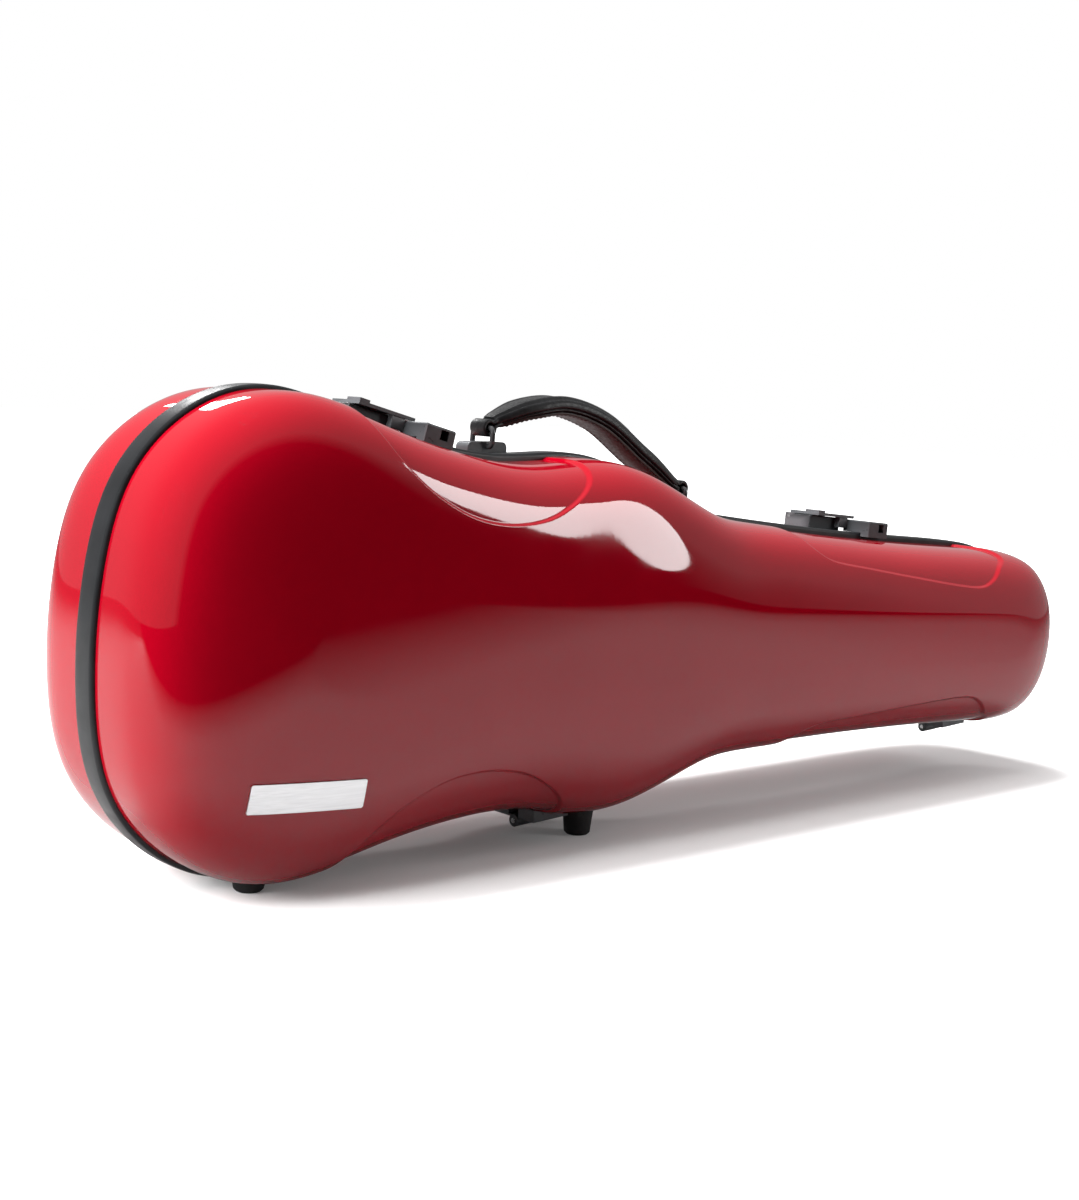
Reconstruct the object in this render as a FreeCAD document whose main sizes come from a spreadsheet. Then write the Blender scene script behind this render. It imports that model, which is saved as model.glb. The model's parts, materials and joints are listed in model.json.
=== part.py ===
"""Shaped violin case with a side-hinged lid, as a parametric document in millimetres.

The case stands on its long edge.  Everything is laid out in the case frame: x runs from the lower-bout
end to the neck end, y runs from the lid (negative) to the base (positive) with the seam band on y = 0,
and z runs up the width, with the centreline at z = 0.  Each sub-part's Placement then puts the case
frame on its feet: the neck end sits lower by the stance tilt, the bumpers touch z = 0 and the whole
depth is centred on y = 0.
"""
import FreeCAD, Part
import math
import os
import Sketcher
from FreeCAD import Placement, Rotation, Vector

DIMENSIONS = (
    ("case_length", 775, "length of the shells"),
    ("case_width", 254, "width of the shells over the lower bout"),
    ("lid_depth", 68, "depth of the lid shell"),
    ("base_depth", 72.5, "depth of the base shell"),
    ("band_width", 17, "width of the seam band"),
    ("band_proud", 2.5, "how far the band stands out of the shells"),
    ("seam_gap", 0.5, "gap between the band and the closed lid"),
    ("shell_wall", 3, "thickness of the composite shells"),
    ("recess_depth", 1.8, "depth of the styling recesses"),
    ("fit_gap", 0.4, "clearance between nested soft and hard pieces"),
    ("lid_padding", 13, "thickness of the lid lining over the instrument's body"),
    ("neck_padding", 6, "thickness of both linings round the neck room"),
    ("cavity_floor", 13, "foam between the instrument and the base shell"),
    ("liner_top", 2, "height of the base lining's top face"),
    ("stance_tilt", 2.7, "how far the neck end dips, in degrees"),
    ("foot_radius", 10.5, "radius of a bumper where it meets the shell"),
    ("foot_tip", 8, "radius of a bumper at the floor"),
    ("foot_round", 1.5, "chamfer round a bumper's tip"),
    ("foot_spread", 20, "distance of the bumpers from the seam plane"),
    ("knuckle_radius", 3.8, "outer radius of a hinge knuckle"),
    ("pin_radius", 1.5, "radius of the hinge and latch pins"),
    ("running_gap", 0.05, "radial clearance of a pin in its knuckle"),
    ("hinge_length", 28, "length of a hinge along its pin"),
    ("latch_length", 34, "length of a latch housing"),
    ("latch_width", 17, "width of a latch housing"),
    ("latch_height", 9, "height of a latch housing over the band"),
    ("keeper_length", 22, "length of a latch keeper"),
    ("keeper_width", 20, "width of a latch keeper"),
    ("window_size", 5.6, "side of the keeper's square window"),
    ("lever_thickness", 2, "thickness of a latch lever's plate"),
    ("handle_offset", 17, "distance of the handle from the seam plane"),
    ("grip_width", 26, "width of the handle's grip"),
    ("grip_thickness", 12, "thickness of the handle's grip"),
    ("ring_wire", 3.2, "diameter of the handle rings' wire"),
    ("label_length", 67, "length of the blank label plate"),
    ("label_width", 15.5, "width of the blank label plate"),
    ("label_thickness", 0.8, "thickness of the blank label plate"),
    ("bow_spread", 34, "distance of each bow from the centreline"),
    ("clip_radius", 11, "radius of a bow clip's base"),
    ("spinner_length", 44, "length of a bow clip's turn bar"),
    ("spinner_width", 12, "width of a bow clip's turn bar"),
    ("pocket_length", 44, "length of the accessory pocket"),
    ("pocket_width", 64, "width of the accessory pocket"),
    ("panel_thickness", 3, "thickness of the accessory lid"),
    ("strap_length", 56, "length of the neck strap"),
    ("strap_width", 20, "width of the neck strap"),
    ("strap_thickness", 2.4, "thickness of the neck strap"),
)

# Half of the seam outline as B-spline poles (x, z), from the lower-bout end to the neck end.
OUTLINE_POLES = (
    (0, 22), (8, 80), (46, 119), (94, 133),
    (154, 112), (234, 99), (279, 104), (330, 109),
    (396, 77), (440, 74), (530, 69), (630, 66),
    (727, 66), (755, 57), (776, 28),
)
NOMINAL_LENGTH = 775
NOMINAL_WIDTH = 254

# The shell's wall and crown as B-spline poles: (share of the seam outline, share of the depth).
PROFILE_POLES = ((1, 0), (1, 0.29), (1, 0.515), (0.85, 0.90), (0.42, 1), (0.2, 1))

# The crown shrinks towards a spine on the centreline, which starts and ends inside the two ends.
SPINE_START = 105
SPINE_END = 74

# Edges of the styling recesses (x, z), each running from the seam over the shell and back to the seam.
WAIST_RECESS = ((113, 130), (126, 109), (138, 95), (155, 82), (180, 71), (207, 67.5),
                (235, 71), (258, 80.5), (275, 92), (284, 104), (289, 118))
NECK_RECESS = ((462, 84), (472, 66), (482, 58), (496, 53.5), (530, 50), (580, 45), (630, 40.5),
               (656, 40), (672, 45), (686, 53.5), (702, 62), (712, 80))

# Half of the instrument's recess in the base lining, as B-spline poles (x, z).
INSTRUMENT_POLES = (
    (16, 40), (22, 92), (70, 116), (130, 108),
    (180, 72), (235, 74), (290, 104), (360, 96), (396, 62), (398, 25),
)

HINGES = (("waist", 299, -112.8), ("neck", 706, -72.2))
LATCHES = (("waist", 184), ("neck", 590))
FEET = (("lower", 92), ("waist", 328))
FOOT_FLOOR = -134
CRADLE_X = 428
BOW_CLIP_X = 205
BOW_LOOP_X = 612
POCKET_START = 687
CARRY_RINGS = (("lower", 118), ("upper", 640))
ANCHOR_GAP = 0.1
ANCHOR_HEIGHT = 6.4

# Handle rings: (name, x, height of the lower bar, height of the upper bar).
HANDLE_RINGS = (("front", 257, 107.5, 118.5), ("rear", 426, 80.5, 91.5))

# Middle line of the grip between its end loops (x, z), and its section there as shares of the full one.
GRIP_STATIONS = ((259, 120, 0.5, 0.62), (268, 124.5, 0.6, 0.75), (287, 131.5, 1, 1), (316, 136, 1, 1),
                 (350, 129, 1, 1), (385, 110.5, 1, 1), (411, 97.5, 0.6, 0.75), (423, 92.5, 0.5, 0.62))

doc = FreeCAD.newDocument("ViolinCase")
sheet = doc.addObject("Spreadsheet::Sheet", "dims")
for row, (alias, value, meaning) in enumerate(DIMENSIONS, start=1):
    sheet.set(f"A{row}", meaning)
    sheet.set(f"B{row}", str(value))
    sheet.setAlias(f"B{row}", alias)
doc.recompute()


def size(alias):
    """Value of one driving dimension."""
    return float(sheet.get(alias))


# ---------------------------------------------------------------- frames and outlines

TILT = size("stance_tilt")
GROUND_SLOPE = math.tan(math.radians(TILT))
RIM = size("band_width") / 2
SEAM = -RIM - size("seam_gap") / 2


def stance():
    """Placement of the case frame on its feet: tilted about y, centred, with the floor at z = 0."""
    turn = Rotation(Vector(0, 1, 0), TILT)
    floor_point = turn.multVec(Vector(FEET[0][1], 0, FOOT_FLOOR))
    middle = turn.multVec(Vector(size("case_length") / 2, 0, 0))
    lid_reach = RIM + size("seam_gap") + size("lid_depth")
    base_reach = RIM + size("base_depth") + ANCHOR_GAP + ANCHOR_HEIGHT
    return Placement(Vector(-middle.x, (lid_reach - base_reach) / 2, -floor_point.z), turn)


STANCE = stance()


def mirrored(half):
    """Closed ring of poles from its upper half."""
    return list(half) + [(x, -z) for x, z in reversed(half)]


def drawn_in(poles, inset):
    """Closed ring of poles moved inward by inset along the local normal (outward if negative)."""
    moved = []
    for i, (x, z) in enumerate(poles):
        before = poles[i - 1]
        after = poles[(i + 1) % len(poles)]
        run = after[0] - before[0]
        rise = after[1] - before[1]
        length = math.hypot(run, rise)
        moved.append((x + inset * rise / length, z - inset * run / length))
    return moved


def seam_outline(inset=0):
    """Poles of the seam outline at the driving length and width, drawn in by inset."""
    stretch = size("case_length") / NOMINAL_LENGTH
    widen = size("case_width") / NOMINAL_WIDTH
    half = [(x * stretch, z * widen) for x, z in OUTLINE_POLES]
    return drawn_in(mirrored(half), inset)


def ring_wire(poles, y):
    """Closed cubic B-spline through the plane at height y."""
    curve = Part.BSplineCurve()
    curve.buildFromPoles([Vector(x, y, z) for x, z in poles], True, 3)
    return Part.Wire([curve.toShape()])


def prism(poles, y_low, y_high):
    """Closed outline extruded between two heights."""
    return Part.Face(ring_wire(poles, y_low)).extrude(Vector(0, y_high - y_low, 0))


def dome(poles, spine_start, squeeze, rim, crown):
    """Solid from a closed outline at height rim, up a steep wall and over to a flat crown.

    Towards the crown the outline shrinks to a spine on the centreline; a point at x shrinks towards
    spine_start + squeeze * x.
    """
    grid = []
    for x, z in poles:
        spine = spine_start + squeeze * x
        grid.append([Vector(spine + (x - spine) * share, rim + (crown - rim) * rise, z * share)
                     for share, rise in PROFILE_POLES])
    around = len(grid)
    surface = Part.BSplineSurface()
    surface.buildFromPolesMultsKnots(
        grid, [1] * (around + 1), [4, 1, 1, 4], list(range(around + 1)), [0, 1, 2, 3], True, False, 3, 3)
    skin = surface.toShape()
    caps = [Part.Face(Part.Wire([edge])) for edge in skin.Edges if edge.isClosed()]
    hull = Part.Shell([skin] + caps)
    hull.sewShape()
    return Part.Solid(hull)


def form(inset, rim, depth, side):
    """Solid under the shells' law, drawn in by inset: side is -1 for the lid and +1 for the base."""
    length = size("case_length")
    squeeze = (length - SPINE_END - SPINE_START) / length
    return dome(seam_outline(inset), SPINE_START, squeeze, side * rim, side * (rim + depth))


def rim_height(x):
    """Height and slope of the seam outline's upper edge at x."""
    curve = Part.BSplineCurve()
    curve.buildFromPoles([Vector(px, 0, pz) for px, pz in seam_outline()], True, 3)
    upper = [point for point in curve.discretize(600) if point.z > 0]
    upper.sort(key=lambda point: point.x)
    for left, right in zip(upper, upper[1:]):
        if left.x <= x <= right.x:
            slope = (right.z - left.z) / (right.x - left.x)
            return left.z + slope * (x - left.x), slope
    raise ValueError(f"x = {x} is outside the outline")


def rim_frame(x, y=0):
    """Placement on top of the band at x: local x along the band, local z outward."""
    height, slope = rim_height(x)
    angle = math.degrees(math.atan(slope))
    turn = Rotation(Vector(0, 1, 0), -angle)
    lift = turn.multVec(Vector(0, 0, size("band_proud")))
    return Placement(Vector(x, y, height) + lift, turn)


# ---------------------------------------------------------------- document helpers

parts = []


def keep(obj, label):
    """Give a finished sub-part its label and stand it on its feet."""
    obj.Label = label
    obj.Placement = STANCE.multiply(obj.Placement)
    parts.append(obj)
    return obj


def feature(name, shape):
    """Part::Feature holding a shape made with Part's own functions."""
    obj = doc.addObject("Part::Feature", name)
    obj.Shape = shape
    return obj


def block(name, frame, corner, length, width, height):
    """Box with its sizes bound to expressions, its low corner at corner in the given frame."""
    obj = doc.addObject("Part::Box", name)
    obj.setExpression("Length", length)
    obj.setExpression("Width", width)
    obj.setExpression("Height", height)
    obj.Placement = frame.multiply(Placement(Vector(*corner), Rotation()))
    doc.recompute()
    return obj


def cylinder(name, frame, centre, axis, radius, height):
    """Cylinder with its sizes bound to expressions, standing on centre along axis."""
    obj = doc.addObject("Part::Cylinder", name)
    obj.setExpression("Radius", radius)
    obj.setExpression("Height", height)
    turn = Rotation(Vector(0, 0, 1), Vector(*axis))
    obj.Placement = frame.multiply(Placement(Vector(*centre), turn))
    doc.recompute()
    return obj


def fuse(name, pieces):
    """Union of several objects."""
    obj = doc.addObject("Part::MultiFuse", name)
    obj.Shapes = pieces
    doc.recompute()
    return obj


def cut(name, base, tool):
    """Base with tool taken away; the cut has to remove something."""
    obj = doc.addObject("Part::Cut", name)
    obj.Base = base
    obj.Tool = tool
    doc.recompute()
    if obj.Shape.Volume > base.Shape.Volume - 1e-3:
        raise ValueError(f"{name} removes nothing")
    return obj


def soften(name, base, radius, keep_edge=lambda edge: True):
    """Round the edges that keep_edge picks."""
    obj = doc.addObject("Part::Fillet", name)
    obj.Base = base
    picked = [i for i, edge in enumerate(base.Shape.Edges, start=1) if keep_edge(edge)]
    obj.Edges = [(i, radius, radius) for i in picked]
    doc.recompute()
    return obj


def above(frame, edge, height):
    """Whether an edge's highest point stands more than height over the frame's origin."""
    local = frame.inverse()
    return max(local.multVec(point).z for point in edge.discretize(5)) > height


def profile_body(name, points, role):
    """PartDesign body with one closed sketch whose corners are bound to expressions."""
    body = doc.addObject("PartDesign::Body", name)
    plane = next(item for item in body.Origin.OriginFeatures if item.Role == role)
    sketch = body.newObject("Sketcher::SketchObject", name + "_profile")
    sketch.AttachmentSupport = [(plane, "")]
    sketch.MapMode = "FlatFace"
    corners = []
    for across, along in points:
        corners.append(Vector(sketch.evalExpression(across), sketch.evalExpression(along), 0))
    for start, end in zip(corners, corners[1:] + corners[:1]):
        sketch.addGeometry(Part.LineSegment(start, end), False)
    for i in range(len(corners)):
        sketch.addConstraint(Sketcher.Constraint("Coincident", i, 2, (i + 1) % len(corners), 1))
    for i, (across, along) in enumerate(points):
        for kind, expression in (("DistanceX", across), ("DistanceY", along)):
            target = sketch.evalExpression(expression)
            index = sketch.addConstraint(Sketcher.Constraint(kind, -1, 1, i, 1, float(target)))
            sketch.setExpression(f"Constraints[{index}]", expression)
    doc.recompute()
    return body, sketch


# ---------------------------------------------------------------- shells, band and seal

LID_RIM = RIM + size("seam_gap")
LID_CROWN = LID_RIM + size("lid_depth")
BASE_CROWN = RIM + size("base_depth")
FAR = 160


def recess_prisms(edge):
    """Prisms along y over a recess and its mirror image, open towards the seam."""
    curve = Part.BSplineCurve()
    curve.interpolate([Vector(x, -FAR, z) for x, z in edge])
    first = edge[0]
    last = edge[-1]
    border = [Vector(last[0], -FAR, last[1]), Vector(last[0], -FAR, FAR),
              Vector(first[0], -FAR, FAR), Vector(first[0], -FAR, first[1])]
    outline = Part.Wire([curve.toShape()] + Part.makePolygon(border).Edges)
    upper = Part.Face(outline).extrude(Vector(0, 2 * FAR, 0))
    lower = upper.mirror(Vector(0, 0, 0), Vector(0, 0, 1))
    return [upper, lower]


RECESS_PRISMS = recess_prisms(WAIST_RECESS) + recess_prisms(NECK_RECESS)


def shell(name, rim, depth, side):
    """Composite shell with shallow styling recesses at the waist and the neck."""
    wall = size("shell_wall")
    sink = size("recess_depth")
    outer = feature(name + "_outer", form(0, rim, depth, side))
    inner = feature(name + "_inner", form(wall, rim, depth - wall, side))
    skin = outer.Shape.cut(form(sink, rim, depth - sink, side))
    recesses = feature(name + "_recesses", Part.makeCompound([skin.common(p) for p in RECESS_PRISMS]))
    return cut(name, cut(name + "_hollow", outer, inner), recesses)


keep(shell("base_shell_solid", RIM, size("base_depth"), 1), "base_shell")
keep(shell("lid_shell_solid", LID_RIM, size("lid_depth"), -1), "lid_shell")


def seam_band():
    """Band round the base's edge, rounded on its outside."""
    outer = feature("band_outer", prism(seam_outline(-size("band_proud")), -RIM, RIM))
    inner = feature("band_inner", prism(seam_outline(size("shell_wall")), -RIM, RIM))
    outer_length = max(edge.Length for edge in outer.Shape.Edges)
    rounded = soften("band_rounded", outer, 2.2, lambda edge: edge.Length > 0.99 * outer_length)
    return cut("band_ring", rounded, inner)


keep(seam_band(), "seam_band")


def lid_seal():
    """Soft gasket just inside the lid's edge."""
    inset = size("shell_wall") + size("fit_gap")
    low = -LID_RIM - 5.3
    high = -LID_RIM - 0.2
    outer = feature("seal_outer", prism(seam_outline(inset), low, high))
    inner = feature("seal_inner", prism(seam_outline(inset + 2), low, high))
    return cut("seal_ring", outer, inner)


keep(lid_seal(), "lid_seal")

# Everything outside the shells is trimmed by the bed, so that it sits on the shells and the band.
BED = feature("bed", prism(seam_outline(-0.05), -70, 70).fuse(
    prism(seam_outline(-size("band_proud") - 0.15), -RIM - 0.1, RIM + 0.1)))


# ---------------------------------------------------------------- linings

LINING_INSET = size("shell_wall") + size("fit_gap")
CAVITY_FLOOR = BASE_CROWN - LINING_INSET - size("cavity_floor")
NECK_ROOM_START = 410
NECK_GATE_FLOOR = 42
TRAY_WALL = 2.5
TRAY_FLOOR = 58


def base_lining():
    """Foam lining: thick round the instrument's body, thin round the neck room, open between them."""
    top = size("liner_top")
    pad = size("neck_padding")
    foam = feature("base_foam", form(LINING_INSET, top, BASE_CROWN - LINING_INSET - top, 1))
    body_space = feature("instrument_space", dome(mirrored(INSTRUMENT_POLES), 84, 0.6, 0, CAVITY_FLOOR))
    room = form(LINING_INSET + pad, 0, BASE_CROWN - LINING_INSET - pad, 1)
    far_half = Part.makeBox(size("case_length"), 2 * FAR, 2 * FAR, Vector(NECK_ROOM_START, -FAR, -FAR))
    neck_room = feature("neck_room", room.common(far_half))
    gate = feature("neck_gate", Part.makeBox(50, NECK_GATE_FLOOR, 60, Vector(NECK_ROOM_START - 40, 0, -30)))
    return cut("base_lining_solid", foam, fuse("base_lining_space", [body_space, neck_room, gate]))


def lid_lining():
    """Padded plush lining of the lid, thinner over the neck room and open where the seal sits."""
    outer = feature("lid_lining_outer", form(LINING_INSET, LID_RIM, LID_CROWN - LINING_INSET - LID_RIM, -1))
    spaces = []
    for name, pad, start, end in (("body", size("lid_padding"), -10, NECK_ROOM_START),
                                  ("neck", size("neck_padding"), NECK_ROOM_START - 5, size("case_length"))):
        inset = LINING_INSET + pad
        room = form(inset, LID_RIM, LID_CROWN - inset - LID_RIM, -1)
        slab = Part.makeBox(end - start, 2 * FAR, 2 * FAR, Vector(start, -FAR, -FAR))
        spaces.append(feature(f"lid_{name}_space", room.common(slab)))
    spaces.append(feature("lid_lining_edge", Part.makeBox(
        size("case_length") + 20, 5.8, 2 * FAR, Vector(-10, -LID_RIM - 5.8, -FAR))))
    return cut("lid_lining_solid", outer, fuse("lid_lining_spaces", spaces))


keep(base_lining(), "base_lining")
keep(lid_lining(), "lid_lining")


def cushion(name, x_low, x_high, half_width, y_low, y_high):
    """Soft rectangular pad with rounded edges."""
    box = doc.addObject("Part::Feature", name + "_block")
    corner = Vector(x_low, y_low, -half_width)
    box.Shape = Part.makeBox(x_high - x_low, y_high - y_low, 2 * half_width, corner)
    doc.recompute()
    return soften(name + "_soft", box, 2)


keep(cushion("lower_pad", 66, 108, 44, 54, 61), "lower_suspension_pad")
keep(cushion("upper_pad", 316, 348, 40, 54, 61), "upper_suspension_pad")


def neck_cradle():
    """Block across the neck room, level with the lining's top, with a U-shaped notch for the neck."""
    half = 44
    top = size("liner_top")
    middle = 22
    radius = 18
    body = feature("cradle_block", Part.makeBox(34, 61 - top, 2 * half, Vector(CRADLE_X - 17, top, -half)))
    seat = Part.makeCylinder(radius, 60, Vector(CRADLE_X - 30, middle, 0), Vector(1, 0, 0))
    throat = Part.makeBox(60, middle - top + 1, 2 * radius, Vector(CRADLE_X - 30, top - 1, -radius))
    notch = fuse("cradle_notch", [feature("cradle_seat", seat), feature("cradle_throat", throat)])
    return cut("cradle_solid", body, notch)


keep(neck_cradle(), "neck_cradle")


# ---------------------------------------------------------------- neck strap and accessory lid

def neck_strap():
    """Soft strap that closes over the neck, and the anchor it turns on."""
    thick = size("strap_thickness")
    width = size("strap_width")
    half = size("strap_length") / 2
    tongue = block("strap_tongue", Placement(), (CRADLE_X - width / 2, -thick / 2, -half),
                   "dims.strap_width", "dims.strap_thickness", "dims.strap_length")
    strap = soften("strap_soft", tongue, 0.8)
    anchor = block("strap_anchor_block", Placement(), (CRADLE_X - width / 2, -thick / 2, half + 2.5),
                   "dims.strap_width", "dims.liner_top + dims.strap_thickness / 2 - 0.05", "9")
    return strap, anchor


strap_solid, anchor_solid = neck_strap()
keep(strap_solid, "neck_strap")
keep(soften("strap_anchor_soft", anchor_solid, 0.7), "neck_strap_anchor")


def accessory_tray():
    """Open moulded tray for rosin and spare strings at the neck end."""
    top = size("liner_top")
    wall = TRAY_WALL
    corner = (POCKET_START - wall, top, -size("pocket_width") / 2 - wall)
    outside = block("tray_outside", Placement(), corner, f"dims.pocket_length + {2 * wall}",
                    str(TRAY_FLOOR - top), f"dims.pocket_width + {2 * wall}")
    inside = block("tray_inside", Placement(), (POCKET_START, top - 1, -size("pocket_width") / 2),
                   "dims.pocket_length", str(TRAY_FLOOR - wall - top + 1), "dims.pocket_width")
    return cut("tray_solid", outside, inside)


keep(accessory_tray(), "accessory_tray")


def accessory_lid():
    """Stiff covered panel over the accessory pocket, with a ribbon tab at its free end."""
    half = size("pocket_width") / 2 + 4
    thick = size("panel_thickness")
    top = size("liner_top")
    panel = block("panel_board", Placement(), (POCKET_START - 4, top - thick - 0.2, -half),
                  "dims.pocket_length + 8", "dims.panel_thickness", "dims.pocket_width + 8")
    tab = feature("tab_ribbon", Part.makeBox(
        14, 1.2, 12, Vector(POCKET_START + size("pocket_length") - 12, top - thick - 1.5, -6)))
    return soften("panel_soft", panel, 1), tab


panel_solid, tab_solid = accessory_lid()
keep(panel_solid, "accessory_lid")
keep(tab_solid, "accessory_pull_tab")


# ---------------------------------------------------------------- bow holders in the lid

CLIP_TOP = -58.4
CLIP_HEIGHT = 7.6
SPINNER_HEIGHT = 4
LOOP_TOP = -60


def bow_holders(name, z):
    """Turning bow clip near the frog and a soft loop near the tip, for one bow at height z."""
    foot = cylinder(name + "_clip_foot", Placement(), (BOW_CLIP_X, CLIP_TOP, z), (0, 1, 0),
                    "dims.clip_radius", str(CLIP_HEIGHT))
    base = soften(name + "_clip_soft", foot, 1)
    bar_low = CLIP_TOP + CLIP_HEIGHT + 0.3
    bar = block(name + "_spinner_bar", Placement(),
                (BOW_CLIP_X - size("spinner_width") / 2, bar_low, z - size("spinner_length") / 2),
                "dims.spinner_width", str(SPINNER_HEIGHT), "dims.spinner_length")
    upright = lambda edge: abs(edge.BoundBox.YLength - SPINNER_HEIGHT) < 0.01
    spinner = soften(name + "_spinner_round", bar, size("spinner_width") / 2 - 0.1, upright)
    outer = Part.makeBox(44, 7, 22, Vector(BOW_LOOP_X - 22, LOOP_TOP, abs(z) - 15))
    slot = Part.makeBox(46, 3.4, 17, Vector(BOW_LOOP_X - 23, LOOP_TOP + 1.8, abs(z) - 12.5))
    loop = outer.cut(slot)
    if z < 0:
        loop = loop.mirror(Vector(0, 0, 0), Vector(0, 0, 1))
    keep(base, name + "_bow_clip_base")
    keep(spinner, name + "_bow_spinner")
    keep(feature(name + "_loop_solid", loop), name + "_bow_loop")


bow_holders("upper", size("bow_spread"))
bow_holders("lower", -size("bow_spread"))


# ---------------------------------------------------------------- hinges

def hinge(name, x, z):
    """Three-knuckle hinge on the bottom edge: base leaf, lid leaf and pin."""
    (_, x_first, z_first), (_, x_last, z_last) = HINGES
    angle = math.degrees(math.atan2(z_last - z_first, x_last - x_first))
    frame = Placement(Vector(x, SEAM, z), Rotation(Vector(0, 1, 0), -angle))
    half = size("hinge_length") / 2
    middle = 4.5
    play = 0.3
    low = 2.3
    high = 14
    reach = size("knuckle_radius") + 0.4
    leaf = 14
    bore = cylinder(name + "_bore", frame, (-half - 1, 0, 0), (1, 0, 0),
                    "dims.pin_radius + dims.running_gap", "dims.hinge_length + 2")

    def knuckle(label, start, length):
        return cylinder(f"{name}_{label}", frame, (start, 0, 0), (1, 0, 0),
                        "dims.knuckle_radius", str(length))

    def plate(label, corner, length, width, height):
        return block(f"{name}_{label}", frame, corner, str(length), str(width), str(height))

    outer_length = half - middle - play
    base_solid = fuse(name + "_base_blank", [
        plate("base_plate", (-half, reach, low), 2 * half, leaf, high),
        plate("base_web_a", (-half, 0, low), outer_length, reach + 1, 1.3),
        plate("base_web_b", (middle + play, 0, low), outer_length, reach + 1, 1.3),
        knuckle("base_knuckle_a", -half, outer_length),
        knuckle("base_knuckle_b", middle + play, outer_length)])
    lid_solid = fuse(name + "_lid_blank", [
        plate("lid_plate", (-half, -reach - leaf, low), 2 * half, leaf, high),
        plate("lid_web", (-middle, -reach - 1, low), 2 * middle, reach + 1, 1.3),
        knuckle("lid_knuckle", -middle, 2 * middle)])
    for label, blank in (("base", base_solid), ("lid", lid_solid)):
        trimmed = cut(f"{name}_{label}_trimmed", blank, BED)
        keep(cut(f"{name}_{label}_leaf", trimmed, bore), f"{name}_hinge_{label}_leaf")
    pin = cylinder(name + "_pin_rod", frame, (-half - 0.6, 0, 0), (1, 0, 0),
                   "dims.pin_radius", "dims.hinge_length + 1.2")
    keep(pin, name + "_hinge_pin")


for hinge_place in HINGES:
    hinge(*hinge_place)


# ---------------------------------------------------------------- latches

def latch(name, x):
    """Flip latch on the upper edge: housing and lever on the base, keeper block on the lid."""
    frame = rim_frame(x)
    length = size("latch_length")
    top = size("latch_height")
    back = RIM + size("latch_width")
    pivot = Vector(0, back + 3, top - 2)
    ear = 2.7
    barrel = 2.5
    lift = 0.3

    body = block(name + "_housing_body", frame, (-length, RIM + 0.2, -8),
                 "dims.latch_length", "dims.latch_width - 0.4", "dims.latch_height + 8")
    body_soft = soften(name + "_housing_soft", body, 0.9)
    ears = [block(f"{name}_ear_{i}", frame, (start, back - 3, -8),
                  str(ear), "8.5", "dims.latch_height + 8.3")
            for i, start in enumerate((-length, -ear))]
    housing = cut(name + "_housing_trimmed", fuse(name + "_housing_blank", [body_soft] + ears), BED)
    pin_hole = cylinder(name + "_pin_hole", frame, (-length - 1, pivot.y, pivot.z), (1, 0, 0),
                        "dims.pin_radius + dims.running_gap", "dims.latch_length + 2")
    keep(cut(name + "_housing_solid", housing, pin_hole), name + "_latch_housing")

    plate_low = top + lift
    lever = fuse(name + "_lever_blank", [
        cylinder(name + "_lever_barrel", frame, (-length + ear + 0.3, pivot.y, pivot.z), (1, 0, 0),
                 str(barrel), f"dims.latch_length - {2 * ear + 0.6}"),
        block(name + "_lever_plate", frame, (-length + ear + 0.3, RIM - 2, plate_low),
              f"dims.latch_length - {2 * ear + 0.6}", f"{pivot.y - RIM + 2.6}", "dims.lever_thickness"),
        block(name + "_lever_tongue", frame, (-length + ear + 0.3, RIM - 5, plate_low),
              "dims.latch_length + 6", "12", "dims.lever_thickness"),
        block(name + "_lever_lip", frame, (-length + ear + 0.3, RIM - 5, plate_low),
              "7", "12", "dims.lever_thickness + 1.6")])
    keep(cut(name + "_lever_solid", lever, pin_hole), name + "_latch_lever")
    pin = cylinder(name + "_latch_pin_rod", frame, (-length + 0.2, pivot.y, pivot.z), (1, 0, 0),
                   "dims.pin_radius", "dims.latch_length - 0.4")
    keep(pin, name + "_latch_pin")

    keeper_top = top - 0.4
    keeper = block(name + "_keeper_body", frame, (3, RIM - 0.6 - size("keeper_width") - 3.5, -8),
                   "dims.keeper_length", "dims.keeper_width + 3.5", str(keeper_top + 8))
    keeper_blank = cut(name + "_keeper_blank", keeper, BED)
    trimmed = soften(name + "_keeper_soft", keeper_blank, 1.2, lambda edge: above(frame, edge, 5))
    window = block(name + "_keeper_window", frame,
                   (3 + size("keeper_length") * 0.5, -FAR / 8, keeper_top / 2 - 2.8),
                   "dims.window_size", str(FAR / 8 - 9), "dims.window_size")
    keep(cut(name + "_keeper_solid", trimmed, window), name + "_latch_keeper")


for latch_place in LATCHES:
    latch(*latch_place)


# ---------------------------------------------------------------- handle

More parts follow.
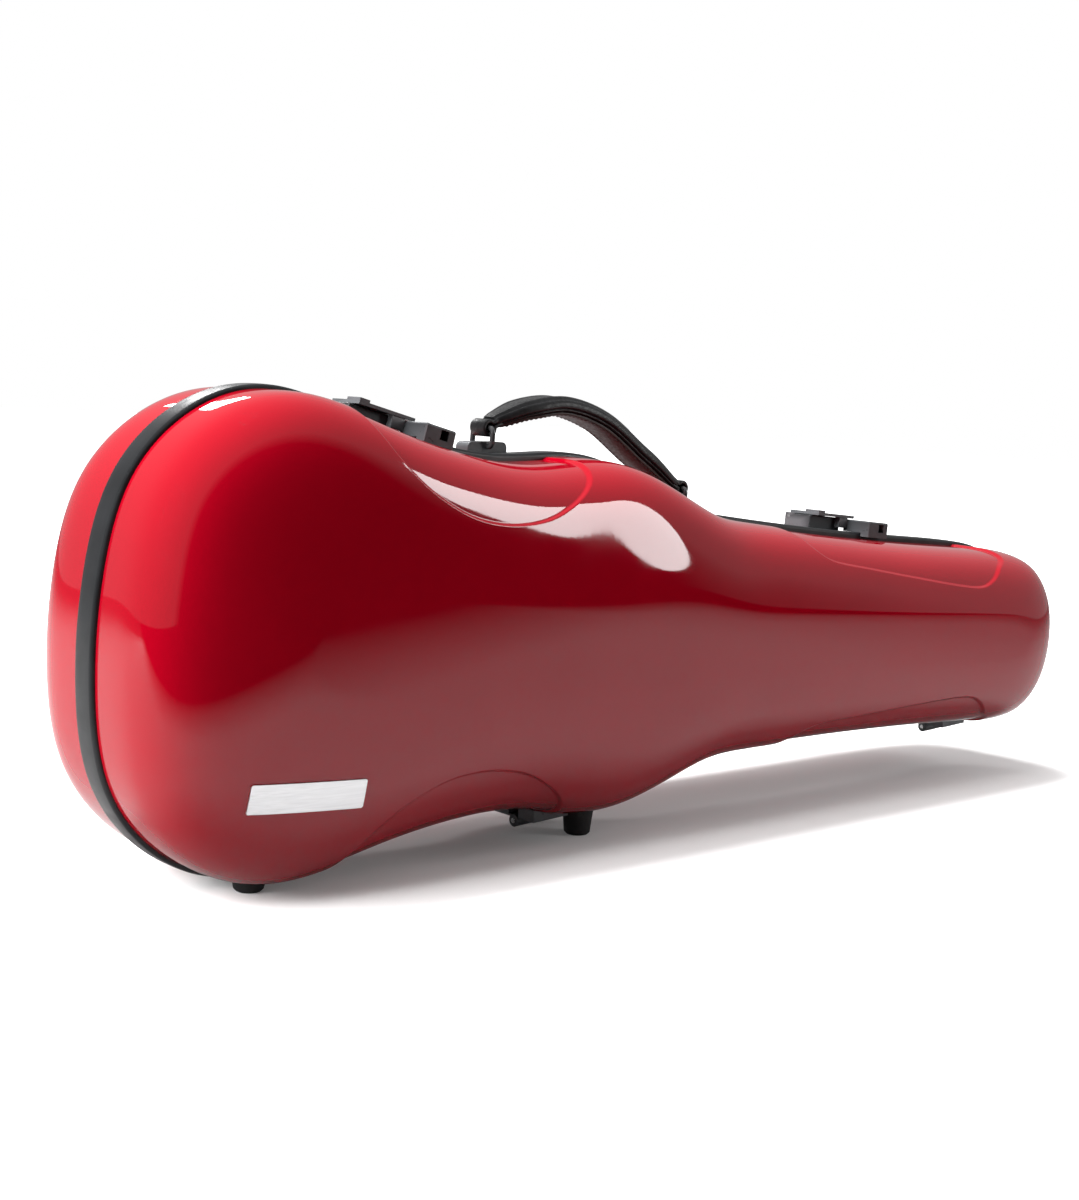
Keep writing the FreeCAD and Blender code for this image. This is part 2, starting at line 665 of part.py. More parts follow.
def handle_ring(name, x, low, high):
    """Closed wire ring standing across the strap, and the mount its lower bar turns in."""
    wire = size("ring_wire") / 2
    across = size("handle_offset")
    half = 9
    corner = 3
    path = Part.makePolygon([Vector(x, across - half, low), Vector(x, across + half, low),
                             Vector(x, across + half, high), Vector(x, across - half, high),
                             Vector(x, across - half, low)])
    corners = rounded_loop(path, corner)
    start = corners.Edges[0]
    circle = Part.Wire([Part.Circle(start.valueAt(start.FirstParameter),
                                    start.tangentAt(start.FirstParameter), wire).toShape()])
    ring = Part.Wire(corners.Edges).makePipeShell([circle], True, True)
    keep(feature(name + "_ring_solid", ring), name + "_handle_ring")

    frame = rim_frame(x, across)
    top = low + size("ring_wire") / 2 + 1.2 - frame.Base.z
    half_width = half - wire - 0.4 - corner + 1.5
    blank = block(name + "_mount_block", frame, (-15, -half_width, -8),
                  "30", str(2 * half_width), str(top + 8))

    def is_upper_end(edge):
        box = edge.BoundBox
        return box.YLength > 2 * half_width - 0.1 and box.ZMin > frame.Base.z - 2

    rounded = soften(name + "_mount_soft", blank, 3.5, is_upper_end)
    trimmed = cut(name + "_mount_trimmed", rounded, BED)
    hole = feature(name + "_mount_hole", Part.makeCylinder(
        wire + size("running_gap"), 40, Vector(x, across - 20, low), Vector(0, 1, 0)))
    keep(cut(name + "_mount_solid", trimmed, hole), name + "_handle_mount")


def rounded_loop(path, radius):
    """Closed polygon wire with its corners rounded."""
    points = [vertex.Point for vertex in path.OrderedVertexes]
    edges = []
    count = len(points)
    joints = []
    for i, point in enumerate(points):
        back = (points[i - 1] - point).normalize()
        ahead = (points[(i + 1) % count] - point).normalize()
        centre = point + (back + ahead) * radius
        middle = centre - (back + ahead).normalize() * radius
        joints.append((point + back * radius, middle, point + ahead * radius))
    for i, (enter, middle, leave) in enumerate(joints):
        edges.append(Part.Arc(enter, middle, leave).toShape())
        edges.append(Part.LineSegment(leave, joints[(i + 1) % count][0]).toShape())
    return Part.Wire(edges)


def handle_grip():
    """Padded grip with a loop at each end round a ring's upper bar."""
    across = size("handle_offset")
    sections = []
    stations = GRIP_STATIONS
    for i, (x, z, wide, thick) in enumerate(stations):
        before = stations[max(i - 1, 0)]
        after = stations[min(i + 1, len(stations) - 1)]
        along = Vector(after[0] - before[0], 0, after[1] - before[1]).normalize()
        turn = Rotation(Vector(1, 0, 0), along)
        half_y = size("grip_width") * wide / 2
        half_z = size("grip_thickness") * thick / 2
        outline = Part.Wire([section_curve(half_y, half_z)])
        outline.Placement = Placement(Vector(x, across, z), turn)
        sections.append(outline)
    grip = Part.makeLoft(sections, True, False)
    for _, x, _, high in HANDLE_RINGS:
        loop = Part.makeCylinder(6.2, 13, Vector(x, across - 6.5, high), Vector(0, 1, 0))
        hole = Part.makeCylinder(size("ring_wire") / 2 + 0.35, 40,
                                 Vector(x, across - 20, high), Vector(0, 1, 0))
        grip = grip.fuse(loop).cut(hole)
    return grip


def section_curve(half_y, half_z):
    """Soft rectangle in the yz plane as a closed B-spline."""
    poles = []
    for a, b in ((1, 0.45), (0.85, 1.05), (0.3, 1.15), (-0.3, 1.15), (-0.85, 1.05), (-1, 0.45),
                 (-1, -0.45), (-0.85, -1.05), (-0.3, -1.15), (0.3, -1.15), (0.85, -1.05), (1, -0.45)):
        poles.append(Vector(0, a * half_y * 1.1, b * half_z))
    curve = Part.BSplineCurve()
    curve.buildFromPoles(poles, True, 3)
    return curve.toShape()


for ring_place in HANDLE_RINGS:
    handle_ring(*ring_place)
keep(feature("handle_grip_solid", handle_grip()), "handle_grip")


# ---------------------------------------------------------------- bumpers

def bumper(label, x, side):
    """Tapered rubber bumper on one shell, standing square on the floor and trimmed by the shell."""
    ground = FOOT_FLOOR + (x - FEET[0][1]) * GROUND_SLOPE
    shell_edge = rim_height(x)[0]
    tall = -shell_edge - ground + 6
    body, sketch = profile_body(label + "_turned", [
        ("0", "0"), ("dims.foot_tip - dims.foot_round", "0"), ("dims.foot_tip", "dims.foot_round"),
        ("dims.foot_radius", f"{tall}"), ("0", f"{tall}")], "XZ_Plane")
    turned = body.newObject("PartDesign::Revolution", label + "_revolution")
    turned.Profile = sketch
    turned.ReferenceAxis = (sketch, ["V_Axis"])
    turned.Angle = 360
    doc.recompute()
    upright = Rotation(Vector(0, 1, 0), -TILT)
    body.Placement = Placement(Vector(x, side * size("foot_spread"), ground), upright)
    doc.recompute()
    keep(cut(label + "_trimmed", body, BED), label + "_bumper")


for foot_name, foot_x in FEET:
    bumper("base_" + foot_name, foot_x, 1)
    bumper("lid_" + foot_name, foot_x, -1)


# ---------------------------------------------------------------- label plate and carry rings

def label_plate():
    """Blank metal plate that follows the lid's crown."""
    thick = size("label_thickness")
    lift = 0.05
    sheet_outer = form(-thick - lift, LID_RIM, size("lid_depth") + thick + lift, -1)
    sheet_inner = form(-lift, LID_RIM, size("lid_depth") + lift, -1)
    window = Part.makeBox(size("label_length"), 40, size("label_width"), Vector(55, -85, -81))
    corners = [edge for edge in window.Edges if edge.BoundBox.YLength > 39]
    window = window.makeFillet(1.2, corners)
    return window.common(sheet_outer).cut(sheet_inner)


keep(feature("label_plate_solid", label_plate()), "label_plate")


def carry_ring(name, x):
    """Folding ring for a carrying strap, on the back of the base."""
    wire = 1.6
    reach = 20
    half = 13
    level = BASE_CROWN + 3.2
    corners = [(x, -half), (x, half), (x + reach, half), (x + reach, -half), (x, -half)]
    path = Part.makePolygon([Vector(along, level, across) for along, across in corners])
    loop = rounded_loop(path, 4)
    start = loop.Edges[0]
    circle = Part.Wire([Part.Circle(start.valueAt(start.FirstParameter),
                                    start.tangentAt(start.FirstParameter), wire).toShape()])
    ring = loop.makePipeShell([circle], True, True)
    keep(feature(name + "_carry_ring_solid", ring), name + "_carry_ring")
    anchor = Part.makeBox(14, ANCHOR_HEIGHT, 16, Vector(x - 10, BASE_CROWN + ANCHOR_GAP, -8))
    anchor = anchor.makeFillet(1.5, [edge for edge in anchor.Edges if edge.BoundBox.YMin > BASE_CROWN + 5])
    hole = Part.makeCylinder(wire + size("running_gap"), 40, Vector(x, level, -20), Vector(0, 0, 1))
    keep(feature(name + "_carry_anchor_solid", anchor.cut(hole)), name + "_carry_anchor")


for carry_place in CARRY_RINGS:
    carry_ring(*carry_place)


# ---------------------------------------------------------------- checks and export

doc.recompute()
for obj in doc.Objects:
    if "Invalid" in obj.State or "Error" in obj.State:
        raise RuntimeError(f"{obj.Name} failed: {obj.State}")
os.makedirs("parts", exist_ok=True)
for part in parts:
    shape = part.Shape
    if shape.isNull() or not shape.isValid() or not shape.Solids:
        raise RuntimeError(f"{part.Label} has no valid solid")
    shape.exportStep(f"parts/{part.Label}.step")
print(len(parts), "sub-parts written")
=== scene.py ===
"""Looks of the shaped violin case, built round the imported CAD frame, in metres."""
import json
import math

import bmesh
import bpy
import numpy as np
from mathutils import Matrix, Quaternion, Vector
from mathutils.geometry import delaunay_2d_cdt

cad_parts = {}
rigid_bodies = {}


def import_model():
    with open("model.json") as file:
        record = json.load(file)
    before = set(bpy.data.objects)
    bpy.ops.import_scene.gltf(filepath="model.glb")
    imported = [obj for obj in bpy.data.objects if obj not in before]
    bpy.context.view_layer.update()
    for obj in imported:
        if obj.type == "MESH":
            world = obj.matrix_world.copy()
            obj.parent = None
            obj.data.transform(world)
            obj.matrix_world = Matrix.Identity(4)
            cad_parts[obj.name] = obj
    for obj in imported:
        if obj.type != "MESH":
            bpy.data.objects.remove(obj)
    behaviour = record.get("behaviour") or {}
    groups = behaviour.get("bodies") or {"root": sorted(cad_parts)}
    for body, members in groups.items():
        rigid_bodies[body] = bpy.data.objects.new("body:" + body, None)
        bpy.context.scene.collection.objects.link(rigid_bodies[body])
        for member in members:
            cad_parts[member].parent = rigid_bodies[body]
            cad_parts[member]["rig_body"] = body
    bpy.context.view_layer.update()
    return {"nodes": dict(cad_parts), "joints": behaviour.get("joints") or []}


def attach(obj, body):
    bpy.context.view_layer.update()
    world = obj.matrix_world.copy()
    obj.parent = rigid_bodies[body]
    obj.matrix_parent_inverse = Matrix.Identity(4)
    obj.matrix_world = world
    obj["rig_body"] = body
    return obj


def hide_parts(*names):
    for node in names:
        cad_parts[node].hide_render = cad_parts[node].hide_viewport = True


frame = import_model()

joints = {joint["name"]: joint for joint in frame["joints"]}

# ---------------------------------------------------------------- the case frame
# Shapes are worked out in the case frame, in millimetres: x from the lower-bout end to the neck
# end, y from the lid to the base with the seam at 0, z up the width.  The axes of the two
# carrying rings fix it.

MM = 0.001
CARRY_X = {"lower": 118, "upper": 640}
CARRY_Y = 84.2


def case_frame():
    """Matrix from the case frame in metres to the row frame."""
    lower = Vector(joints["lower_carry_ring_fold"]["pos_m"])
    upper = Vector(joints["upper_carry_ring_fold"]["pos_m"])
    along = (upper - lower).normalized()
    up = Vector(joints["lower_carry_ring_fold"]["axis"]).normalized()
    out = up.cross(along)
    matrix = Matrix((along, out, up)).transposed().to_4x4()
    matrix.translation = lower - along * CARRY_X["lower"] * MM - out * CARRY_Y * MM
    return matrix


CASE = case_frame()
CASE_ARRAY = np.array(CASE)


def placed(points):
    """Case-frame points in millimetres as row-frame points in metres."""
    points = np.asarray(points, float) * MM
    return points @ CASE_ARRAY[:3, :3].T + CASE_ARRAY[:3, 3]


def turned(vectors):
    """Case-frame directions in the row frame."""
    return np.asarray(vectors, float) @ CASE_ARRAY[:3, :3].T


# ---------------------------------------------------------------- the shells' law

HALF_OUTLINE = (
    (0, 22), (8, 80), (46, 119), (94, 133), (154, 112), (234, 99), (279, 104), (330, 109),
    (396, 77), (440, 74), (530, 69), (630, 66), (727, 66), (755, 57), (776, 28),
)
PROFILE = ((1, 0), (1, 0.29), (1, 0.515), (0.85, 0.90), (0.42, 1), (0.2, 1))
CROWN_SHARE = PROFILE[-1][0]
INSTRUMENT_HALF = (
    (16, 40), (22, 92), (70, 116), (130, 108), (180, 72),
    (235, 74), (290, 104), (360, 96), (396, 62), (398, 25),
)
WAIST_RECESS = (
    (113, 130), (126, 109), (138, 95), (155, 82), (180, 71), (207, 67.5),
    (235, 71), (258, 80.5), (275, 92), (284, 104), (289, 118),
)
NECK_RECESS = (
    (462, 84), (472, 66), (482, 58), (496, 53.5), (530, 50), (580, 45), (630, 40.5),
    (656, 40), (672, 45), (686, 53.5), (702, 62), (712, 80),
)
LENGTH = 775
SPINE_START = 105
SPINE_END_GAP = 74
SPINE_SQUEEZE = (LENGTH - SPINE_END_GAP - SPINE_START) / LENGTH
RECESS_DEPTH = 1.8
RIM = 8.5
LID_RIM = -9.0
LID_CROWN = -77.0
BASE_CROWN = 81.0
WALL = 3.0


def ring_poles(half, inset=0.0):
    """Closed ring of poles, drawn in by inset along the local normal."""
    ring = np.array(list(half) + [(x, -z) for x, z in reversed(half)], float)
    step = np.roll(ring, -1, 0) - np.roll(ring, 1, 0)
    length = np.linalg.norm(step, axis=1)[:, None]
    return ring + inset * np.stack([step[:, 1], -step[:, 0]], 1) / length


def closed_spline(poles, u):
    """Points of the periodic cubic B-spline with u in turns of the ring."""
    count = len(poles)
    place = (np.asarray(u, float) % 1.0) * count
    first = np.floor(place).astype(int)
    t = (place - first)[:, None]
    weights = ((1 - t) ** 3, 3 * t ** 3 - 6 * t ** 2 + 4,
               -3 * t ** 3 + 3 * t ** 2 + 3 * t + 1, t ** 3)
    total = sum(w * poles[(first + k) % count] for k, w in enumerate(weights))
    return total / 6


def outline(u, inset=0.0):
    """Seam outline (x, z), drawn in by inset."""
    return closed_spline(ring_poles(HALF_OUTLINE, inset), u)


def spine_of(x):
    """Place along the spine that the outline's points at x are drawn towards."""
    return SPINE_START + SPINE_SQUEEZE * x


def profile(v):
    """(share, rise) of the wall-to-crown profile, v from 0 at the rim to 1 at the crown."""
    knots = [0, 0, 0, 0, 1, 2, 3, 3, 3, 3]
    place = np.clip(np.asarray(v, float), 0, 1) * knots[-1]
    place = np.where(place >= knots[-1], knots[-1] - 1e-9, place)
    basis = [((place >= a) & (place < b)).astype(float) for a, b in zip(knots, knots[1:])]
    for degree in range(1, 4):
        raised = []
        for i in range(len(basis) - 1):
            value = np.zeros_like(place)
            if knots[i + degree] > knots[i]:
                value = value + (place - knots[i]) / (knots[i + degree] - knots[i]) * basis[i]
            if knots[i + degree + 1] > knots[i + 1]:
                span = knots[i + degree + 1] - knots[i + 1]
                value = value + (knots[i + degree + 1] - place) / span * basis[i + 1]
            raised.append(value)
        basis = raised
    return sum(b[:, None] * np.array(pole, float) for b, pole in zip(basis, PROFILE))


def surface(u, v, inset, rim, crown):
    """Case-frame points of a shell surface."""
    edge = outline(u, inset)
    share, rise = profile(v).T
    spine = spine_of(edge[:, 0])
    x = spine + (edge[:, 0] - spine) * share
    return np.stack([x, rim + (crown - rim) * rise, edge[:, 1] * share], 1)


def surface_normals(u, v, rim, crown):
    """Outward unit normals of a shell's outer surface."""
    tiny = 1e-4
    degenerate = 1e-9
    side = math.copysign(1, crown)
    low = np.clip(v - tiny, 0, 1)
    high = np.clip(v + tiny, 0, 1)
    across = surface(u + tiny, v, 0, rim, crown) - surface(u - tiny, v, 0, rim, crown)
    upward = surface(u, high, 0, rim, crown) - surface(u, low, 0, rim, crown)
    normal = np.cross(across, upward) * side
    length = np.linalg.norm(normal, axis=1)[:, None]
    flat = np.tile([0.0, side, 0.0], (len(u), 1))
    return np.where(length > degenerate, normal / np.maximum(length, degenerate), flat)


def walked_length(path):
    """Length walked along a polyline up to each of its points."""
    return np.concatenate([[0], np.cumsum(np.linalg.norm(np.diff(path, axis=0), axis=1))])


def even_turns(count):
    """Ring parameters evenly spaced along the seam outline, starting at 0."""
    fine = np.linspace(0, 1, 6001)
    walked = walked_length(outline(fine))
    return np.interp(np.linspace(0, walked[-1], count, endpoint=False), walked, fine)


# ---------------------------------------------------------------- mesh helpers

def dress(obj, material, body, replaces=(), sharp=35):
    """Link an object, shade it, give it a material and a body, and hide the nodes it stands
    for.
    """
    if obj.name not in bpy.context.scene.collection.objects:
        bpy.context.scene.collection.objects.link(obj)
    mesh = obj.data
    mesh.materials.clear()
    mesh.materials.append(material)
    mesh.polygons.foreach_set("use_smooth", [True] * len(mesh.polygons))
    if sharp is not None:
        mesh.set_sharp_from_angle(angle=math.radians(sharp))
    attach(obj, body)
    if replaces:
        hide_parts(*replaces)
    return obj


def outward(mesh):
    """Turn every face outward."""
    work = bmesh.new()
    work.from_mesh(mesh)
    bmesh.ops.recalc_face_normals(work, faces=work.faces)
    work.to_mesh(mesh)
    work.free()


def piece(name, points, faces, material, body, slot, replaces=(), sharp=35, is_case=True):
    """Mesh object from points and faces, smooth but for edges sharper than the given angle."""
    mesh = bpy.data.meshes.new(name)
    world = placed(points) if is_case else np.asarray(points, float)
    mesh.from_pydata([tuple(p) for p in world], [], [tuple(int(i) for i in f) for f in faces])
    mesh.validate()
    obj = dress(bpy.data.objects.new(name, mesh), material, body, replaces, sharp)
    outward(mesh)
    return obj


def drop_shading(mesh):
    """Remove the normals and sharp marks a mesh was copied with."""
    for name in ("custom_normal", "sharp_face", "sharp_edge"):
        attribute = mesh.attributes.get(name)
        if attribute:
            mesh.attributes.remove(attribute)


def grid_faces(rows, columns, wrap_rows=False, wrap_columns=False):
    """Quads of a grid whose points run along the columns first."""
    faces = []
    for i in range(rows if wrap_rows else rows - 1):
        for j in range(columns if wrap_columns else columns - 1):
            after_i = (i + 1) % rows
            after_j = (j + 1) % columns
            faces.append((i * columns + j, i * columns + after_j,
                          after_i * columns + after_j, after_i * columns + j))
    return faces


def smooth_path(points, spacing):
    """Catmull-Rom curve through points, resampled at an even spacing."""
    points = np.asarray(points, float)
    padded = np.vstack([2 * points[0] - points[1], points, 2 * points[-1] - points[-2]])
    fine = []
    for a, b, c, d in zip(padded, padded[1:], padded[2:], padded[3:]):
        for t in np.linspace(0, 1, 60, endpoint=False):
            fine.append(0.5 * (2 * b + (c - a) * t + (2 * a - 5 * b + 4 * c - d) * t ** 2
                               + (3 * b - a - 3 * c + d) * t ** 3))
    fine.append(points[-1])
    return resampled(np.array(fine), spacing)


def resampled(path, spacing):
    """Open polyline with evenly spaced points."""
    walked = walked_length(path)
    count = max(int(round(walked[-1] / spacing)), 1) + 1
    places = np.linspace(0, walked[-1], count)
    return np.stack([np.interp(places, walked, path[:, k]) for k in range(path.shape[1])], 1)


def sweep(path, section, side, closed=False):
    """Points and faces of a section carried along a path, its first axis kept near side.

    The section is a list of (side, up) pairs, or a function of the share walked that gives one.
    """
    path = np.asarray(path, float)
    side = np.array(side, float)
    count = len(path)
    points = []
    for i in range(count):
        ahead = path[(i + 1) % count] if closed or i + 1 < count else path[i]
        behind = path[i - 1] if closed or i else path[i]
        along = (ahead - behind) / np.linalg.norm(ahead - behind)
        level = side - along * np.dot(side, along)
        level /= np.linalg.norm(level)
        up = np.cross(level, along)
        shape = section(i / max(count - 1, 1)) if callable(section) else section
        for a, b in shape:
            points.append(path[i] + level * a + up * b)
    width = len(points) // count
    faces = grid_faces(count, width, wrap_rows=closed, wrap_columns=True)
    if not closed:
        faces.append(tuple(range(width)))
        faces.append(tuple(range((count - 1) * width, count * width))[::-1])
    return np.array(points), faces


def circle_section(radius, count):
    """Round section."""
    angles = [2 * math.pi * i / count for i in range(count)]
    return [(radius * math.cos(a), radius * math.sin(a)) for a in angles]


def box_section(half_width, half_height, corner, count):
    """Rectangular section with round corners of count steps."""
    shape = []
    for quarter in range(4):
        cx = (half_width - corner) * (1 if quarter in (0, 3) else -1)
        cy = (half_height - corner) * (1 if quarter in (0, 1) else -1)
        for i in range(count + 1):
            angle = math.pi / 2 * (quarter + i / count)
            shape.append((cx + corner * math.cos(angle), cy + corner * math.sin(angle)))
    return shape


def joined(parts):
    """Several (points, faces) pairs as one."""
    points = []
    faces = []
    for part_points, part_faces in parts:
        start = len(points)
        points.extend(part_points)
        faces.extend([tuple(i + start for i in face) for face in part_faces])
    return np.array(points), faces


# ---------------------------------------------------------------- materials

def new_node(tree, kind, **inputs):
    """New node with its inputs set by name, from values or from other nodes' outputs."""
    node = tree.nodes.new(kind)
    for key, value in inputs.items():
        fill(tree, node.inputs[key.replace("_", " ")], value)
    return node


def fill(tree, socket, value):
    """Give an input socket a value, or a link from another node's output."""
    if isinstance(value, bpy.types.NodeSocket):
        tree.links.new(value, socket)
    else:
        socket.default_value = value


class Look:
    """A node material being put together."""

    def __init__(self, name, colour, roughness, metallic=0.0):
        self.material = bpy.data.materials.new(name)
        self.material.use_nodes = True
        self.tree = self.material.node_tree
        self.shader = self.tree.nodes["Principled BSDF"]
        self.set("Base Color", (*colour, 1))
        self.set("Roughness", roughness)
        self.set("Metallic", metallic)
        self.colour = colour
        self.place = self.tree.nodes.new("ShaderNodeTexCoord").outputs["Object"]
        self.last_bump = None

    def node(self, kind, **inputs):
        """New node in this material."""
        return new_node(self.tree, kind, **inputs)

    def set(self, name, value):
        """Set or link one input of the shader."""
        fill(self.tree, self.shader.inputs[name], value)

    def stretched(self, x, y, z):
        """Object coordinates scaled by axis."""
        return self.node("ShaderNodeMapping", Vector=self.place, Scale=(x, y, z)).outputs[0]

    def noise(self, scale, detail, vector=None):
        """Noise between 0 and 1, scale in features per metre."""
        node = self.node("ShaderNodeTexNoise", Vector=vector or self.place, Scale=scale,
                         Detail=detail)
        return node.outputs[0]

    def cells(self, scale, feature="F1"):
        """Distance field of random cells."""
        node = self.node("ShaderNodeTexVoronoi", Vector=self.place, Scale=scale)
        node.feature = feature
        return node.outputs["Distance"]

    def waves(self, scale, direction, distortion):
        """Wave bands along one direction, 0 to 1."""
        node = self.node("ShaderNodeTexWave", Vector=self.place, Scale=scale,
                         Distortion=distortion)
        node.bands_direction = direction
        return node.outputs["Fac"]

    def ranged(self, value, low, high, start=0.3, end=0.7):
        """Value mapped from start..end to low..high."""
        node = self.node("ShaderNodeMapRange", Value=value, To_Min=low, To_Max=high,
                         From_Min=start, From_Max=end)
        return node.outputs[0]

    def blend(self, value, first, second):
        """Colour between two colours."""
        node = self.node("ShaderNodeMix")
        node.data_type = "RGBA"
        for place, part in ((0, value), (6, first), (7, second)):
            fill(self.tree, node.inputs[place], (*part, 1) if isinstance(part, tuple) else part)
        return node.outputs[2]

    def bump(self, height, distance, strength):
        """Add a bump whose height is in metres; bumps stack."""
        node = self.node("ShaderNodeBump", Height=height, Distance=distance, Strength=strength)
        if self.last_bump is not None:
            fill(self.tree, node.inputs["Normal"], self.last_bump)
        self.last_bump = node.outputs[0]
        self.set("Normal", self.last_bump)

    def tinted(self, value, spread):
        """Vary the colour's brightness by spread with a 0..1 value."""
        darker = tuple(c * (1 - spread) for c in self.colour)
        lighter = tuple(min(c * (1 + spread), 1) for c in self.colour)
        self.set("Base Color", self.blend(self.ranged(value, 0, 1), darker, lighter))

    def worn_and_highlit_edges(self, lighter):
        """Lighten convex edges: handling wear and a painted edge highlight, on top of the tint.
        """
        point = self.node("ShaderNodeNewGeometry").outputs["Pointiness"]
        mask = self.ranged(point, 0, 1, start=0.505, end=0.56)
        under = self.shader.inputs["Base Color"].links[0].from_socket
        self.set("Base Color", self.blend(mask, under, lighter))


def lacquer():
    """Deep red gloss lacquer over a composite shell, with orange peel and hairline haze."""
    look = Look("red_lacquer", (0.25, 0.0006, 0.007), 0.45)
    look.set("Specular IOR Level", 0.0)
    look.set("Coat Weight", 1.0)
    look.set("Coat IOR", 1.5)
    look.tinted(look.noise(9, detail=3), 0.05)
    haze = look.noise(35, detail=6)
    look.set("Coat Roughness", look.ranged(haze, 0.018, 0.05))
    peel = look.node("ShaderNodeBump", Height=look.noise(260, detail=2), Distance=0.00001,
                     Strength=0.35)
    look.set("Coat Normal", peel.outputs[0])
    return look.material


def satin_band():
    """Moulded black band with a fine satin grain."""
    look = Look("satin_band", (0.009, 0.0095, 0.0105), 0.36)
    look.set("Specular IOR Level", 0.32)
    look.tinted(look.noise(60, detail=5), 0.25)
    look.set("Roughness", look.ranged(look.noise(120, detail=6), 0.30, 0.42))
    look.bump(look.noise(2600, detail=3), 0.00002, 0.5)
    look.bump(look.noise(18, detail=2), 0.0002, 0.25)
    return look.material


def moulded_plastic():
    """Black moulded hardware plastic: fine spark texture; wear and painted highlight on edges.
    """
    look = Look("moulded_plastic", (0.008, 0.0085, 0.0095), 0.34)
    look.set("Specular IOR Level", 0.4)
    look.tinted(look.noise(90, detail=4), 0.3)
    # Convex edges lightened: partly handling wear, partly a painted highlight.
    look.worn_and_highlit_edges((0.09, 0.094, 0.10))
    look.set("Roughness", look.ranged(look.noise(300, detail=5), 0.26, 0.44))
    look.bump(look.cells(2200), 0.000025, 0.5)
    return look.material


def brushed(name, colour, roughness):
    """Metal brushed along x."""
    look = Look(name, colour, roughness, metallic=1.0)
    grain = look.noise(1.0, detail=8, vector=look.stretched(14.0, 900.0, 900.0))
    look.tinted(grain, 0.10)
    look.set("Roughness", look.ranged(grain, roughness - 0.06, roughness + 0.10))
    look.bump(grain, 0.00001, 0.6)
    return look.material


def wire_paint():
    """Gloss black paint on bent wire."""
    look = Look("wire_paint", (0.010, 0.010, 0.011), 0.22)
    look.set("Coat Weight", 0.6)
    look.set("Coat Roughness", 0.08)
    look.tinted(look.noise(150, detail=4), 0.3)
    # Convex bends lightened: partly handling wear, partly a painted highlight.
    look.worn_and_highlit_edges((0.05, 0.05, 0.052))
    look.bump(look.noise(700, detail=3), 0.00002, 0.4)
    return look.material


def rubber():
    """Matt black rubber with a speckled skin and scuffs."""
    look = Look("rubber", (0.013, 0.013, 0.0135), 0.72)
    look.tinted(look.noise(200, detail=6), 0.4)
    look.set("Roughness", look.ranged(look.noise(70, detail=5), 0.6, 0.85))
    look.bump(look.cells(1500), 0.00006, 0.6)
    return look.material


def leather(name, colour, roughness, grain=1.0):
    """Grained leather: cell wrinkles, pores, creases and a soft sheen on the raised parts."""
    look = Look(name, colour, roughness)
    pebbles = look.cells(620, "SMOOTH_F1")
    look.tinted(look.noise(130, detail=5), 0.35)
    look.set("Roughness", look.ranged(pebbles, roughness - 0.08, roughness + 0.14, 0.1, 0.6))
    look.bump(look.noise(110, detail=3), 0.0004 * grain, 0.35)
    look.bump(pebbles, 0.00022 * grain, 0.75)
    look.bump(look.noise(2400, detail=2), 0.00004 * grain, 0.5)
    look.set("Specular IOR Level", 0.3)
    look.set("Coat Weight", 0.12)
    look.set("Coat Roughness", 0.3)
    return look.material


def plush(name, colour):
    """Short plush: brushed clumps, pile speckle and a velvet sheen."""
    look = Look(name, colour, 0.9)
    look.tinted(look.noise(38, detail=4), 0.28)
    look.bump(look.noise(55, detail=3), 0.0012, 0.35)
    look.bump(look.noise(1400, detail=4), 0.0005, 0.8)
    look.set("Sheen Weight", 0.7)
    look.set("Sheen Roughness", 0.4)
    look.set("Sheen Tint", (0.75, 0.76, 0.8, 1))
    look.set("Specular IOR Level", 0.15)
    return look.material


def webbing(name, colour, scale):
    """Woven strap: ribs across and picks along, with fuzz."""
    look = Look(name, colour, 0.75)
    ribs = look.waves(scale / 3, "X", distortion=0.4)
    picks = look.waves(scale / 5, "Z", distortion=0.4)
    look.tinted(ribs, 0.45)
    look.bump(ribs, 0.0003, 0.7)
    look.bump(picks, 0.0002, 0.6)
    look.bump(look.noise(2500, detail=4), 0.0001, 0.5)
    look.set("Sheen Weight", 0.25)
    return look.material


def thread(name, colour):
    """Twisted sewing thread."""
    look = Look(name, colour, 0.55)
    twist = look.waves(900.0, "DIAGONAL", distortion=0.2)
    look.tinted(twist, 0.4)
    look.bump(twist, 0.0002, 0.6)
    return look.material


LACQUER = lacquer()
BAND = satin_band()
PLASTIC = moulded_plastic()
STEEL = brushed("brushed_steel", (0.56, 0.56, 0.57), 0.26)
LABEL = brushed("brushed_label", (0.74, 0.74, 0.75), 0.34)
WIRE = wire_paint()
RUBBER = rubber()
LEATHER = leather("black_leather", (0.006, 0.006, 0.0065), 0.40)
BACKING = leather("strap_backing", (0.030, 0.015, 0.012), 0.55, grain=0.6)
PLUSH = plush("grey_plush", (0.10, 0.10, 0.11))
PIPING = plush("piping_plush", (0.055, 0.055, 0.06))
WEBBING = webbing("black_webbing", (0.022, 0.022, 0.023), 1100.0)
RIBBON = webbing("ribbon", (0.03, 0.03, 0.032), 1900.0)
THREAD = thread("black_thread", (0.03, 0.03, 0.031))


# ---------------------------------------------------------------- shells
# The outer skin is triangulated in a flattened plane, with the edges of the recesses' steps as
# fixed edges.  A step ring is (offset into the recess, share of the recess's depth).

